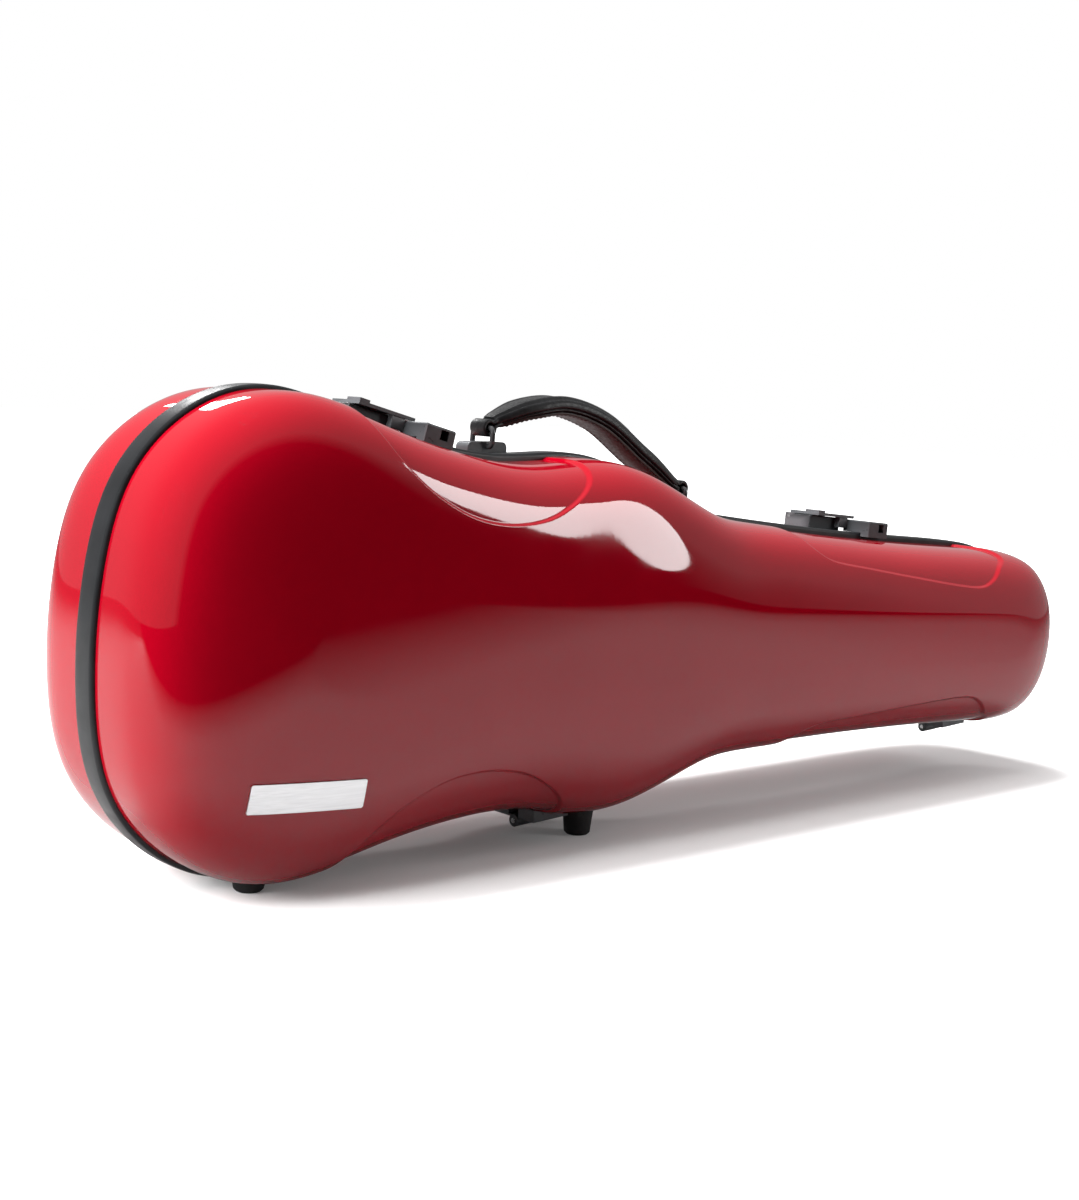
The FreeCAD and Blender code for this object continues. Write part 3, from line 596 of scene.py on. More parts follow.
ROW_SPACING = 3.0
ROW_POINTS = 680
HALVED_FROM = 0.55
QUARTERED_FROM = 0.85
INNER_ROWS = 30
RING_SPACING = 2.0
POINT_GAP = 1.1
CELL = 3
HALF_WIDTH = 100
CROWN_REACH = 75
DEPTH_STRETCH = 1.1
FLAT_GROWTH = 1.35
BEYOND_RIM = 1.2
STEP_RINGS = ((-1.5, 0.0), (-0.8, 0.07), (0.0, 0.42), (0.6, 0.80), (1.2, 0.97), (1.8, 1.0))
UPPER_TURNS = np.linspace(0.002, 0.498, 5000)
MIRROR_TURN = (len(HALF_OUTLINE) * 2 - 3) / (len(HALF_OUTLINE) * 2)
ON_RIM = 1e-6


def flat_width(v, depth):
    """Width of the flattened surface at v, as a share of the rim's, by the profile's length."""
    fine = np.linspace(0, 1, 800)
    share, rise = profile(fine).T
    steps = np.hypot(np.diff(share) * HALF_WIDTH, np.diff(rise) * depth)
    left = np.concatenate([[0], np.cumsum(steps)])
    left = (left[-1] - left) / left[-1]
    return np.interp(v, fine, CROWN_SHARE + (1 - CROWN_SHARE) * left)


def flattened(u, width):
    """Flattened plane position, star-shaped about the spine and free of folds."""
    edge = outline(u)
    spine = spine_of(edge[:, 0])
    grow = width * FLAT_GROWTH
    return np.stack([spine + (edge[:, 0] - spine) * grow, edge[:, 1] * grow], 1)


def recess_ring(edge, offset, depth):
    """(turns, v) along a recess edge moved into the recess by offset, from rim to rim."""
    path = smooth_path(edge, spacing=0.25)
    along = np.gradient(path, axis=0)
    along /= np.linalg.norm(along, axis=1)[:, None]
    path = path + offset * np.stack([-along[:, 1], along[:, 0]], 1)
    rim = outline(UPPER_TURNS)
    spine = spine_of(rim[:, 0])
    fine = np.linspace(0, 1, 4000)
    shares = profile(fine)[:, 0]
    found = []
    for x, z in path:
        across = z * (rim[:, 0] - spine) - rim[:, 1] * (x - spine)
        flips = np.nonzero(np.sign(across[:-1]) != np.sign(across[1:]))[0]
        if not len(flips):
            continue
        k = flips[0]
        part = across[k] / (across[k] - across[k + 1])
        turn = UPPER_TURNS[k] + part * (UPPER_TURNS[k + 1] - UPPER_TURNS[k])
        share = z / (rim[k, 1] + part * (rim[k + 1, 1] - rim[k, 1]))
        found.append((turn, share))
    inside = np.array([(turn, share) for turn, share in found if share < 1])
    ring = np.stack([inside[:, 0], np.interp(-inside[:, 1], -shares, fine)], 1)
    ring = np.vstack([[ring[0, 0], 0.0], ring, [ring[-1, 0], 0.0]])
    walked = walked_length(flattened(ring[:, 0], flat_width(ring[:, 1], depth)))
    places = np.linspace(0, walked[-1], int(walked[-1] / RING_SPACING) + 1)
    return np.stack([np.interp(places, walked, ring[:, k]) for k in (0, 1)], 1)


def recess_rings(depth):
    """(ring, share of depth) of every step ring, above and mirrored below."""
    rings = []
    for edge in (WAIST_RECESS, NECK_RECESS):
        for offset, sunk in STEP_RINGS:
            ring = recess_ring(edge, offset, depth)
            mirrored = np.stack([(MIRROR_TURN - ring[:, 0]) % 1.0, ring[:, 1]], 1)
            rings += [(ring, sunk), (mirrored, sunk)]
    return rings


def row_points(depth):
    """(turns, v) of the rows of points between rim and crown, sparser towards the crown."""
    fine = np.linspace(0, 1, 2000)
    widths = flat_width(fine, depth)
    rows = int(depth * DEPTH_STRETCH / ROW_SPACING + CROWN_REACH / ROW_SPACING)
    narrowing = 1 - (widths - CROWN_SHARE) / (1 - CROWN_SHARE)
    turns = even_turns(ROW_POINTS)
    points = []
    for v in np.interp(np.linspace(0, 1, rows), narrowing, fine):
        row = turns[::1 if v < HALVED_FROM else 2 if v < QUARTERED_FROM else 4]
        points.append(np.stack([row, np.full(len(row), v)], 1))
    return np.vstack(points)


def inside_polygon(points, polygon):
    """Which points lie inside a closed polygon."""
    inside = np.zeros(len(points), bool)
    x, y = points.T
    for (xa, ya), (xb, yb) in zip(polygon, np.roll(polygon, -1, 0)):
        if ya != yb:
            inside ^= ((ya > y) != (yb > y)) & (x < (xb - xa) * (y - ya) / (yb - ya) + xa)
    return inside


def crowded(points, others):
    """Which points lie closer than POINT_GAP to one of the others."""
    cells = {}
    for other in others:
        cells.setdefault((int(other[0] // CELL), int(other[1] // CELL)), []).append(other)
    found = np.zeros(len(points), bool)
    for i, point in enumerate(points):
        cx, cy = int(point[0] // CELL), int(point[1] // CELL)
        near = [other for a in (-1, 0, 1) for b in (-1, 0, 1)
                for other in cells.get((cx + a, cy + b), ())]
        if near:
            gaps = np.sum((np.array(near) - point) ** 2, axis=1)
            found[i] = gaps.min() < POINT_GAP ** 2
    return found


def skin_layout(depth):
    """Triangulated outer skin: turns, v and share of the recess's depth by point, and faces."""
    rings = recess_rings(depth)
    edges = []
    start = 0
    for ring, sunk in rings:
        edges += [(start + i, start + i + 1) for i in range(len(ring) - 1)]
        start += len(ring)
    rows = row_points(depth)
    points = np.vstack([ring for ring, sunk in rings] + [rows])
    sunk_all = np.concatenate([np.full(len(ring), sunk) for ring, sunk in rings]
                              + [np.zeros(len(rows))])
    flat = flattened(points[:, 0], flat_width(points[:, 1], depth))

    for ring, sunk in rings:
        if sunk == 1.0:
            border = flattened(ring[:, 0], flat_width(ring[:, 1], depth))
            beyond = border[[-1, 0]] * [1, BEYOND_RIM]
            within = inside_polygon(flat[start:], np.vstack([border, beyond]))
            sunk_all[start:][within] = 1.0

    keep = np.ones(len(flat), bool)
    keep[start:] = ~crowded(flat[start:], flat[:start])
    turns, v = points[keep].T
    sunk_all = sunk_all[keep]
    on_rim = np.nonzero(v < ON_RIM)[0]
    loop = [int(i) for i in on_rim[np.argsort(turns[on_rim])]]
    result = delaunay_2d_cdt([Vector(p) for p in flat[keep]], edges, [loop], 1, 1e-5)
    origin = [ids[0] for ids in result[3]]
    return turns[origin], v[origin], sunk_all[origin], result[2]


def shell_mesh(rim, crown):
    """Points and faces of one shell; normals of its outer skin, and which of them are exact."""
    u, v, sunk, skin_faces = skin_layout(abs(crown - rim))
    high = surface(u, v, 0, rim, crown)
    low = surface(u, v, RECESS_DEPTH, rim, crown - math.copysign(RECESS_DEPTH, crown))
    skin = high + (low - high) * sunk[:, None]
    normals = surface_normals(u, v, rim, crown)
    plain = (sunk == 0) | (sunk == 1)

    rim_loop = np.nonzero(v < ON_RIM)[0]
    rim_loop = rim_loop[np.argsort(u[rim_loop])]
    columns = len(rim_loop)
    start = len(skin)
    inner_crown = crown - math.copysign(WALL, crown)
    inner = [surface(u[rim_loop], np.full(columns, row), WALL, rim, inner_crown)
             for row in np.linspace(0, 1, INNER_ROWS)]
    faces = [tuple(face) for face in skin_faces]
    for j in range(columns):
        k = (j + 1) % columns
        faces.append((int(rim_loop[j]), int(rim_loop[k]), start + k, start + j))
    inner_faces = grid_faces(INNER_ROWS, columns, wrap_columns=True)
    inner_faces.append(range((INNER_ROWS - 1) * columns, INNER_ROWS * columns))
    faces += [tuple(start + i for i in face) for face in inner_faces]
    return np.vstack([skin, *inner]), faces, normals, plain


def shell_piece(name, node, body, rim, crown):
    """Lacquered shell with exact surface normals away from the recess steps."""
    points, faces, normals, plain = shell_mesh(rim, crown)
    obj = piece(name, points, faces, LACQUER, body, "red_shell", (node,), sharp=None)
    mesh = obj.data
    mesh.update()
    count = len(normals)
    custom = [(0.0, 0.0, 0.0)] * len(mesh.vertices)
    for i, normal in enumerate(turned(normals)):
        if plain[i]:
            custom[i] = tuple(normal)
    for edge in mesh.edges:
        a, b = edge.vertices
        edge.use_edge_sharp = (a < count) != (b < count)
    mesh.normals_split_custom_set_from_vertices(custom)


shell_piece("lid_skin", "lid_shell", "lid", LID_RIM, LID_CROWN)
shell_piece("base_skin", "base_shell", "base", RIM, BASE_CROWN)


# ---------------------------------------------------------------- band

BAND_CORNER = 2.2
BAND_PROUD = 2.5
BAND_CORNER_STEPS = 6
BAND_FACE = ((0.1, -3.0), (0.13, 0.0), (0.1, 3.0))
BAND_POINTS = 720


def band_piece():
    """Black band round the seam: round outer edges and a barely crowned face."""
    half = [(WALL, -RIM), (BAND_CORNER - BAND_PROUD, -RIM)]
    for i in range(1, BAND_CORNER_STEPS + 1):
        angle = math.pi / 2 * i / BAND_CORNER_STEPS
        half.append((BAND_CORNER - BAND_PROUD - BAND_CORNER * math.sin(angle),
                     -RIM + BAND_CORNER * (1 - math.cos(angle))))
    section = half + [(-BAND_PROUD - bulge, y) for bulge, y in BAND_FACE]
    section += [(inset, -y) for inset, y in reversed(half)]
    turns = even_turns(BAND_POINTS)
    points = []
    for inset, y in section:
        points += [(x, y, z) for x, z in outline(turns, inset)]
    faces = grid_faces(len(section), len(turns), wrap_rows=True, wrap_columns=True)
    piece("seam_band_moulding", points, faces, BAND, "base", "band", ("seam_band",),
          sharp=50)


band_piece()


# ---------------------------------------------------------------- hardware

WELD = 2e-6
FLAT_ANGLE = 1.0
BEVEL_ANGLE = 38
SMOOTH_ANGLE = 42


def refined(node, material, bevel, flats=True):
    """Copy of a CAD node with welded faces and rounded edges; flats merges its flat faces."""
    source = frame["nodes"][node]
    mesh = source.data.copy()
    work = bmesh.new()
    work.from_mesh(mesh)
    bmesh.ops.remove_doubles(work, verts=work.verts, dist=WELD)
    bmesh.ops.dissolve_degenerate(work, dist=WELD, edges=work.edges)
    if flats:
        bmesh.ops.dissolve_limit(work, angle_limit=math.radians(FLAT_ANGLE), verts=work.verts,
                                 edges=work.edges)
    bmesh.ops.recalc_face_normals(work, faces=work.faces)
    if bevel:
        sharp = [edge for edge in work.edges if len(edge.link_faces) == 2
                 and edge.calc_face_angle(0) > math.radians(BEVEL_ANGLE)]
        bmesh.ops.bevel(work, geom=sharp, offset=bevel * MM, offset_type="OFFSET", segments=2,
                        profile=0.5, affect="EDGES", clamp_overlap=True)
    work.to_mesh(mesh)
    work.free()
    drop_shading(mesh)
    mesh.validate()
    obj = bpy.data.objects.new(node + "_finished", mesh)
    dress(obj, material, source["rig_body"], (node,), SMOOTH_ANGLE)
    weighted = obj.modifiers.new("weighted", "WEIGHTED_NORMAL")
    weighted.keep_sharp = True


for place in ("waist", "neck"):
    refined(place + "_latch_housing", PLASTIC, 0.35)
    refined(place + "_latch_keeper", PLASTIC, 0.3)
    refined(place + "_latch_lever", PLASTIC, 0.3)
    refined(place + "_latch_pin", STEEL, 0.15)
    refined(place + "_hinge_base_leaf", PLASTIC, 0.3)
    refined(place + "_hinge_lid_leaf", PLASTIC, 0.3)
    refined(place + "_hinge_pin", STEEL, 0.15)
for place in ("front", "rear"):
    refined(place + "_handle_mount", PLASTIC, 0.4)
for place in ("lower", "upper"):
    refined(place + "_carry_anchor", PLASTIC, 0.4)
    refined(place + "_bow_clip_base", PLASTIC, 0.2)
    refined(place + "_bow_spinner", PLASTIC, 0.6)
for place in ("base_lower", "base_waist", "lid_lower", "lid_waist"):
    refined(place + "_bumper", RUBBER, 0.4)
refined("label_plate", LABEL, 0.12)
refined("accessory_tray", PLASTIC, 0.6)


LATCH_LENGTH = 34.0
LATCH_HEIGHT = 9.0
LATCH_REACH = 28.5
LEVER_DROP = 2.0
CATCH_LENGTH = 9.0
CATCH_END = 2.6
CATCH_HALF_WIDTH = 2.1
CATCH_HALF_HEIGHT = LATCH_HEIGHT / 2 - 0.9
CATCH_INSET = 2.4
CATCH_RISE = LATCH_HEIGHT / 2 + 1.2


def latch_catch(place):
    """Hook under a latch lever's tongue, in the gap between the housing and the keeper."""
    joint = joints[place + "_latch_flip"]
    along = -Vector(joint["axis"]).normalized()
    out = (CASE.to_3x3() @ Vector((0, 1, 0))).normalized()
    up = along.cross(out)
    end = Vector(joint["pos_m"]) + along * LATCH_LENGTH / 2 * MM
    start = end - out * (LATCH_REACH - RIM) * MM - up * (LATCH_HEIGHT - LEVER_DROP) * MM
    section = box_section(CATCH_HALF_WIDTH, CATCH_HALF_HEIGHT, 0.5, 3)
    points = []
    for x in (CATCH_END - CATCH_LENGTH, CATCH_END):
        for y, z in section:
            offset = along * x + out * (y - CATCH_INSET) + up * (z + CATCH_RISE)
            points.append(tuple(start + offset * MM))
    width = len(section)
    faces = grid_faces(2, width, wrap_columns=True)
    faces += [tuple(range(width)), tuple(range(width, 2 * width))]
    piece(place + "_latch_catch", points, faces, PLASTIC, place + "_latch", "hardware",
          is_case=False)


latch_catch("waist")
latch_catch("neck")


WIRE_RADIUS = 1.6
GRIP_Y = 17.0
RING_HALF_DEPTH = 9
RING_PLACES = {"front": (257, 107.5, 118.5), "rear": (426, 80.5, 91.5)}
CARRY_HALF_LENGTH = 10
CARRY_HALF_HEIGHT = 13


def wire_ring(name, node, body, centre, half_a, half_b, axis_a, axis_b, corner=3.0):
    """Closed bent-wire ring with round corners."""
    centre = np.array(centre, float)
    axis_a = np.array(axis_a, float)
    axis_b = np.array(axis_b, float)
    path = [centre + axis_a * a + axis_b * b for a, b in box_section(half_a, half_b, corner, 6)]
    dense = []
    for i, point in enumerate(path):
        step = path[(i + 1) % len(path)] - point
        steps = max(int(np.linalg.norm(step)), 1)
        dense += [point + step * k / steps for k in range(steps)]
    points, faces = sweep(dense, circle_section(WIRE_RADIUS, 20), np.cross(axis_a, axis_b),
                          closed=True)
    piece(name, points, faces, WIRE, body, "black_wire", (node,), sharp=60)


for place, (x, low, high) in RING_PLACES.items():
    wire_ring(place + "_ring_wire", place + "_handle_ring", place + "_ring",
              (x, GRIP_Y, (low + high) / 2), RING_HALF_DEPTH, (high - low) / 2,
              (0, 1, 0), (0, 0, 1))
for place, x in CARRY_X.items():
    wire_ring(place + "_carry_wire", place + "_carry_ring", place + "_ring",
              (x + CARRY_HALF_LENGTH, CARRY_Y, 0), CARRY_HALF_LENGTH, CARRY_HALF_HEIGHT,
              (1, 0, 0), (0, 0, 1), corner=4.0)


# ---------------------------------------------------------------- handle grip

GRIP_LINE = (
    (262, 121.6), (268, 124.5), (287, 131.5), (316, 136), (350, 129), (385, 110.5),
    (411, 97.5), (421, 93.4),
)
TOWARDS_LID = (0, -1, 0)
PAD_HALF_WIDTH = 13.0
PAD_HALF_HEIGHT = 5.6
PAD_POINTS = 80
SIDE_GROOVE = (-0.38, 0.13, 1.3)
RIDGE = (0.62, 0.07, 0.8)
VALLEY = (0.80, 0.06, 0.6)
BACKING_HALF_WIDTH = 10.6
BACKING_DROP = 4.7
STITCH_REACH = 9.2
STITCH_DROP = 5.7
STITCH_HALF = 1.1
STITCH_TOP = 0.5
STITCH_DIP = 0.35
LOOP_RADIUS = 4.1
LOOP_STEPS = 36
LOOP_START = 20
LOOP_TURN = 320
TAIL_NEAR = 4
TAIL_FAR = 9


def grip_swell(share):
    """Fullness of the grip, less towards its ends."""
    from_end = min(share, 1 - share)
    return 1 - 0.52 * max(1 - from_end / 0.2, 0) ** 1.6


def grip_height(full):
    """Height factor of the grip at a fullness."""
    return 0.45 + 0.55 * full


def fold(place, middle, width, depth):
    """Depth at a place of a fold with a bell-shaped section."""
    return math.exp(-((place - middle) / width) ** 2) * depth


def pad_section(share):
    """Crowned section: a groove at each side seam, a ridge and a valley beside the crown."""
    full = grip_swell(share)
    height = PAD_HALF_HEIGHT * grip_height(full)
    shape = []
    for i in range(PAD_POINTS):
        angle = 2 * math.pi * i / PAD_POINTS
        a = math.copysign(abs(math.cos(angle)) ** 0.62, math.cos(angle))
        b = math.copysign(abs(math.sin(angle)) ** 0.8, math.sin(angle))
        groove = fold(b, *SIDE_GROOVE) if abs(a) > 0.5 else 0.0
        rise = fold(abs(a), *RIDGE) - fold(abs(a), *VALLEY) if b > 0 else 0.0
        flat = 0.80 if b < 0 else 1.0
        shape.append((a * (PAD_HALF_WIDTH - groove) * full, b * height * flat + rise * full))
    return shape


def backing_section(share):
    """Flat strip under the pad."""
    full = grip_swell(share)
    strip = box_section(BACKING_HALF_WIDTH * full, 0.9, 0.5, 2)
    return [(a, b - BACKING_DROP * grip_height(full)) for a, b in strip]


def grip_stitches(path):
    """Two rows of stitches along the underside."""
    stitches = []
    for side in (-1, 1):
        for i in range(6, len(path) - 8, 3):
            full = grip_swell(i / (len(path) - 1))
            along = path[i + 2] - path[i]
            along /= np.linalg.norm(along)
            down = np.array([along[2], 0, -along[0]])
            middle = path[i] + down * (STITCH_DROP * grip_height(full))
            middle = middle + np.array([0, side * STITCH_REACH * full, 0])
            dip = down * -STITCH_DIP
            walk = [middle - along * STITCH_HALF + dip, middle - along * STITCH_TOP,
                    middle + along * STITCH_TOP, middle + along * STITCH_HALF + dip]
            stitches.append(sweep(walk, circle_section(0.32, 8), TOWARDS_LID))
    piece("grip_stitches", *joined(stitches), THREAD, "handle", "grip")


def grip_loop(place, end, inner):
    """Strap rolled round a ring's bar, with both tails under the end of the pad."""
    x, _, high = RING_PLACES[place]
    towards = 1 if place == "front" else -1
    centre = np.array([x, GRIP_Y, high])
    reach = math.atan2(end[2] - high, (end[0] - x) * towards)
    loop = []
    for i in range(LOOP_STEPS + 1):
        angle = reach + math.radians(LOOP_START + LOOP_TURN * i / LOOP_STEPS)
        way = np.array([towards * math.cos(angle), 0, math.sin(angle)])
        loop.append(centre + way * LOOP_RADIUS)
    heading = (inner - end) / np.linalg.norm(inner - end)
    up = np.array([-heading[2], 0, heading[0]]) * towards
    tail_top = [end + heading * TAIL_FAR + up * 1.2, end + heading * TAIL_NEAR + up * 1.4]
    tail_low = [end + heading * TAIL_NEAR - up * 1.6, end + heading * TAIL_FAR - up * 1.6]
    strip = resampled(np.array(tail_top + loop + tail_low), spacing=0.8)
    points, faces = sweep(strip, box_section(6.6, 1.15, 0.7, 3), TOWARDS_LID)
    piece(place + "_grip_loop", points, faces, LEATHER, "handle", "grip", sharp=50)


def grip_pieces():
    """Padded leather grip with its backing strip, stitching and a rolled loop at each end."""
    line = smooth_path(GRIP_LINE, spacing=1.2)
    path = np.stack([line[:, 0], np.full(len(line), GRIP_Y), line[:, 1]], 1)
    pad = sweep(path, pad_section, TOWARDS_LID)
    piece("grip_pad", *pad, LEATHER, "handle", "grip", ("handle_grip",), sharp=60)
    backing = sweep(path[3:-3], backing_section, TOWARDS_LID)
    piece("grip_backing", *backing, BACKING, "handle", "grip")
    grip_stitches(path)
    grip_loop("front", path[0], path[8])
    grip_loop("rear", path[-1], path[-9])


grip_pieces()


# ---------------------------------------------------------------- soft goods

CLOTH_STEPS = 20


def soft_copy(node, name, voxel, smooth, pressure=0.0, limit=0.0):
    """Plush piece from a plain CAD solid: remeshed, relaxed, and swollen by a simulation."""
    source = frame["nodes"][node]
    obj = bpy.data.objects.new(name, source.data.copy())
    bpy.context.scene.collection.objects.link(obj)
    work = bmesh.new()
    work.from_mesh(obj.data)
    bmesh.ops.remove_doubles(work, verts=work.verts, dist=WELD)
    work.to_mesh(obj.data)
    work.free()
    is_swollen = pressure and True
    if is_swollen:
        draw_in(obj, limit * 0.6)
    remesh = obj.modifiers.new("remesh", "REMESH")
    remesh.mode = "VOXEL"
    remesh.voxel_size = voxel * MM
    relax = obj.modifiers.new("relax", "SMOOTH")
    relax.factor = 0.5
    relax.iterations = smooth
    apply_modifiers(obj)
    if is_swollen:
        swell(obj, pressure, limit)
    drop_shading(obj.data)
    dress(obj, PLUSH, source["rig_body"], (node,), None)


def draw_in(obj, shrink):
    """Draw the start shape in, because the pressure swells it."""
    work = bmesh.new()
    work.from_mesh(obj.data)
    centre = sum((v.co for v in work.verts), Vector()) / len(work.verts)
    for vertex in work.verts:
        away = vertex.co - centre
        for axis in range(3):
            step = min(shrink * MM, abs(away[axis]) * 0.3)
            vertex.co[axis] -= math.copysign(step, away[axis])
    work.to_mesh(obj.data)
    work.free()


def apply_modifiers(obj):
    """Replace the mesh by its evaluated shape."""
    depsgraph = bpy.context.evaluated_depsgraph_get()
    depsgraph.update()
    made = bpy.data.meshes.new_from_object(obj.evaluated_get(depsgraph))
    obj.modifiers.clear()
    old = obj.data
    obj.data = made
    bpy.data.meshes.remove(old)


def swell(obj, pressure, limit):
    """Swell a closed pad by cloth pressure, with each point's travel capped."""
    start = np.array([v.co for v in obj.data.vertices])
    cloth = obj.modifiers.new("cloth", "CLOTH")
    cloth.settings.use_pressure = True
    cloth.settings.uniform_pressure_force = pressure
    cloth.settings.effector_weights.gravity = 0
    cloth.settings.quality = 4
    cloth.collision_settings.use_collision = False
    cloth.point_cache.frame_start = 1
    cloth.point_cache.frame_end = CLOTH_STEPS
    scene = bpy.context.scene
    for step in range(1, CLOTH_STEPS + 1):
        scene.frame_set(step)
    apply_modifiers(obj)
    scene.frame_set(1)
    travel = np.array([v.co for v in obj.data.vertices]) - start
    length = np.linalg.norm(travel, axis=1)[:, None]
    capped = start + travel * np.minimum(1, limit * MM / np.maximum(length, 1e-9))
    obj.data.vertices.foreach_set("co", capped.ravel())
    obj.data.update()


soft_copy("lower_suspension_pad", "lower_pad_soft", 3.0, 4, pressure=4, limit=3.0)
soft_copy("upper_suspension_pad", "upper_pad_soft", 3.0, 4, pressure=4, limit=3.0)
soft_copy("neck_cradle", "neck_cradle_soft", 2.6, 5)
soft_copy("lid_lining", "lid_lining_soft", 3.4, 2)
soft_copy("accessory_lid", "accessory_lid_soft", 1.4, 2)
# A remesh or a bevel would tear the base lining, whose wall is thin beside the waist.
refined("base_lining", PLUSH, 0, flats=False)
refined("lid_seal", RUBBER, 0, flats=False)
for place in ("lower", "upper"):
    refined(place + "_bow_loop", WEBBING, 0.5)
refined("neck_strap", WEBBING, 0)
refined("neck_strap_anchor", WEBBING, 0)
refined("accessory_pull_tab", RIBBON, 0.2)


CORD_RADIUS = 1.9
CORD_Y = 1.6
CORD_POINTS = 420
CORD_OUTSET = 0.6
CRADLE_X = 385
CRADLE_HALF = 33


def piping():
    """Cord sewn round the edge of the instrument's space, open at the neck cradle."""
    turns = np.linspace(0, 1, CORD_POINTS, endpoint=False)
    edge = closed_spline(ring_poles(INSTRUMENT_HALF, -CORD_OUTSET), turns)
    keep = ~((edge[:, 0] > CRADLE_X) & (np.abs(edge[:, 1]) < CRADLE_HALF))
    first = int(np.argmax(~keep))
    order = [(first + i) % len(edge) for i in range(len(edge))]
    line = [(edge[i, 0], CORD_Y, edge[i, 1]) for i in order if keep[i]]
    points, faces = sweep(line, circle_section(CORD_RADIUS, 12), TOWARDS_LID)
    piece("instrument_piping", points, faces, PIPING, "base", "plush")


piping()


# ---------------------------------------------------------------- studio
# Places of lights and camera are in the case frame, in metres; angles are in degrees.

FLOOR_REACH = 9.0
SUBJECT = (0.3, -0.05, 0.05)
AIM = (0.3, -0.05, 0.0)


def area_light(name, at, width, height, power, shape="RECTANGLE", roll=0.0):
    """Softbox facing the case, rolled about its own axis."""
    data = bpy.data.lights.new(name, "AREA")
    data.shape = shape
    data.size = width
    data.size_y = height
    data.energy = power
    obj = bpy.data.objects.new(name, data)
    bpy.context.scene.collection.objects.link(obj)
    obj.location = CASE @ Vector(at)
    facing = (CASE @ Vector(AIM) - CASE @ Vector(at)).to_track_quat("-Z", "Y")
    obj.rotation_euler = (facing @ Quaternion((0, 0, 1), math.radians(roll))).to_euler()
    return obj


def bearing(azimuth, elevation, distance):
    """Point seen from the subject at an azimuth from +y towards +x and an elevation."""
    azimuth = math.radians(azimuth)
    elevation = math.radians(elevation)
    flat = distance * math.cos(elevation)
    return (SUBJECT[0] + flat * math.sin(azimuth), SUBJECT[1] + flat * math.cos(azimuth),
            SUBJECT[2] + distance * math.sin(elevation))


def floor():
    """Pale floor: a painted glow for the camera, and painted shade in its image in the lacquer.
    """
    look = Look("pale_floor", (0.86, 0.86, 0.86), 0.9)
    look.set("Specular IOR Level", 0.0)
    look.set("Emission Color", (1, 1, 1, 1))

    def measured(operation, vector):
        node = look.node("ShaderNodeVectorMath")
        node.operation = operation
        fill(look.tree, node.inputs[0], look.place)
        fill(look.tree, node.inputs[1], vector)
        return node.outputs["Value"]

    seen = look.node("ShaderNodeLightPath").outputs["Is Camera Ray"]
    # Painted shade in the floor's image in the lacquer: grey, then black beyond a line.
    forward = measured("DOT_PRODUCT", (-0.5, -1.0, 0.0))
    painted_reflection_shade = look.ranged(forward, 0, 1, start=0.50, end=0.75)
    mirrored = look.blend(painted_reflection_shade, (0.38, 0.38, 0.38), (0.0, 0.0, 0.0))
    # Painted light: the camera sees the floor paler (0.9) than reflections and bounce do.
    look.set("Base Color", look.blend(seen, mirrored, (0.9, 0.9, 0.9)))
    # Painted glow for the camera only: faint round the case, strong further off.
    from_middle = measured("DISTANCE", (0.0, 0.0, 0.0))
    glow = look.ranged(from_middle, 0.06, 1.4, start=0.46, end=0.95)
    product = look.node("ShaderNodeMath")
    product.operation = "MULTIPLY"
    fill(look.tree, product.inputs[0], glow)
    fill(look.tree, product.inputs[1], seen)
    look.set("Emission Strength", product.outputs[0])
    mesh = bpy.data.meshes.new("floor")
    reach = FLOOR_REACH
    corners = [(-reach, -reach, 0), (reach, -reach, 0), (reach, reach, 0), (-reach, reach, 0)]
    mesh.from_pydata(corners, [], [(0, 1, 2, 3)])
    obj = bpy.data.objects.new("floor", mesh)
    bpy.context.scene.collection.objects.link(obj)
    mesh.materials.append(look.material)


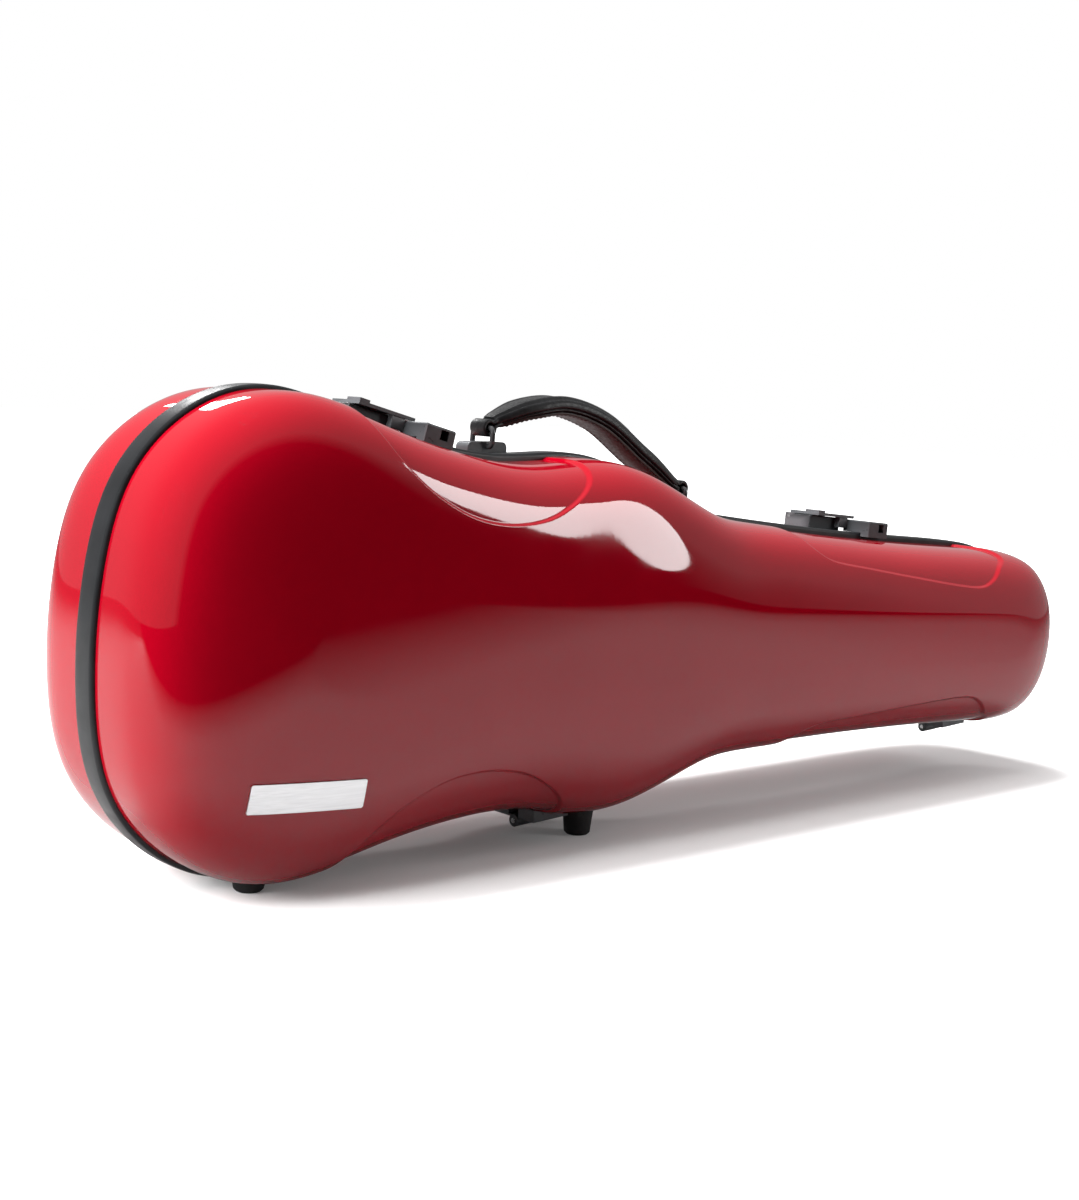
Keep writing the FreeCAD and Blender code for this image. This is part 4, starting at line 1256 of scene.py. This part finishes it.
def surroundings():
    """World that is white to the camera and, for the case, dark on the camera's side."""
    world = bpy.data.worlds.new("studio")
    bpy.context.scene.world = world
    world.use_nodes = True
    tree = world.node_tree
    seen = tree.nodes["Background"]
    seen.inputs["Color"].default_value = (1, 1, 1, 1)
    seen.inputs["Strength"].default_value = 1.0
    place = new_node(tree, "ShaderNodeTexCoord").outputs["Generated"]
    depth = new_node(tree, "ShaderNodeSeparateXYZ", Vector=place).outputs["Y"]
    fade = new_node(tree, "ShaderNodeMapRange", Value=depth, From_Min=-0.68, From_Max=-0.55,
                    To_Min=0.0, To_Max=0.58)
    around = new_node(tree, "ShaderNodeBackground", Strength=fade.outputs[0])
    ray = new_node(tree, "ShaderNodeLightPath")
    mix = new_node(tree, "ShaderNodeMixShader", Fac=ray.outputs["Is Camera Ray"])
    fill(tree, mix.inputs[1], around.outputs[0])
    fill(tree, mix.inputs[2], seen.outputs[0])
    fill(tree, tree.nodes["World Output"].inputs["Surface"], mix.outputs[0])


def softboxes():
    """One softbox that the lacquer mirrors, a small one behind, and two unseen fill lights."""
    area_light("right_softbox", bearing(130.7, 20.5, 1.15), 0.19, 0.68, 3.6, "ELLIPSE", -10)
    for fill in (area_light("left_softbox", bearing(-85, 22, 2.4), 1.3, 1.3, 140),
                 area_light("top_softbox", bearing(-12, 76, 2.0), 0.7, 0.7, 90)):
        fill.visible_glossy = False
    area_light("back_softbox", bearing(13, 30, 2.6), 0.45, 0.22, 10)


CAMERA_PLACE = (-0.4232, -0.7848, 0.1098)
CAMERA_YAW = 42.6
CAMERA_PITCH = 4.9
CAMERA_ROLL = 5.1
CAMERA_LENS = 53.2


def camera():
    """Camera at the viewing angle of the product shot."""
    yaw = math.radians(CAMERA_YAW)
    pitch = math.radians(CAMERA_PITCH)
    roll = math.radians(CAMERA_ROLL)
    forward = Vector((math.sin(yaw) * math.cos(pitch), math.cos(yaw) * math.cos(pitch),
                      -math.sin(pitch)))
    right = Vector((math.cos(yaw), -math.sin(yaw), 0))
    up = right.cross(forward)
    rolled_right = right * math.cos(roll) + up * math.sin(roll)
    rolled_up = up * math.cos(roll) - right * math.sin(roll)
    matrix = Matrix((rolled_right, rolled_up, -forward)).transposed().to_4x4()
    matrix.translation = Vector(CAMERA_PLACE)
    data = bpy.data.cameras.new("camera")
    data.lens = CAMERA_LENS
    data.clip_start = 0.01
    obj = bpy.data.objects.new("camera", data)
    obj.matrix_world = CASE @ matrix
    bpy.context.scene.collection.objects.link(obj)
    bpy.context.scene.camera = obj


floor()
surroundings()
softboxes()
camera()
bpy.context.scene.view_settings.view_transform = "Standard"
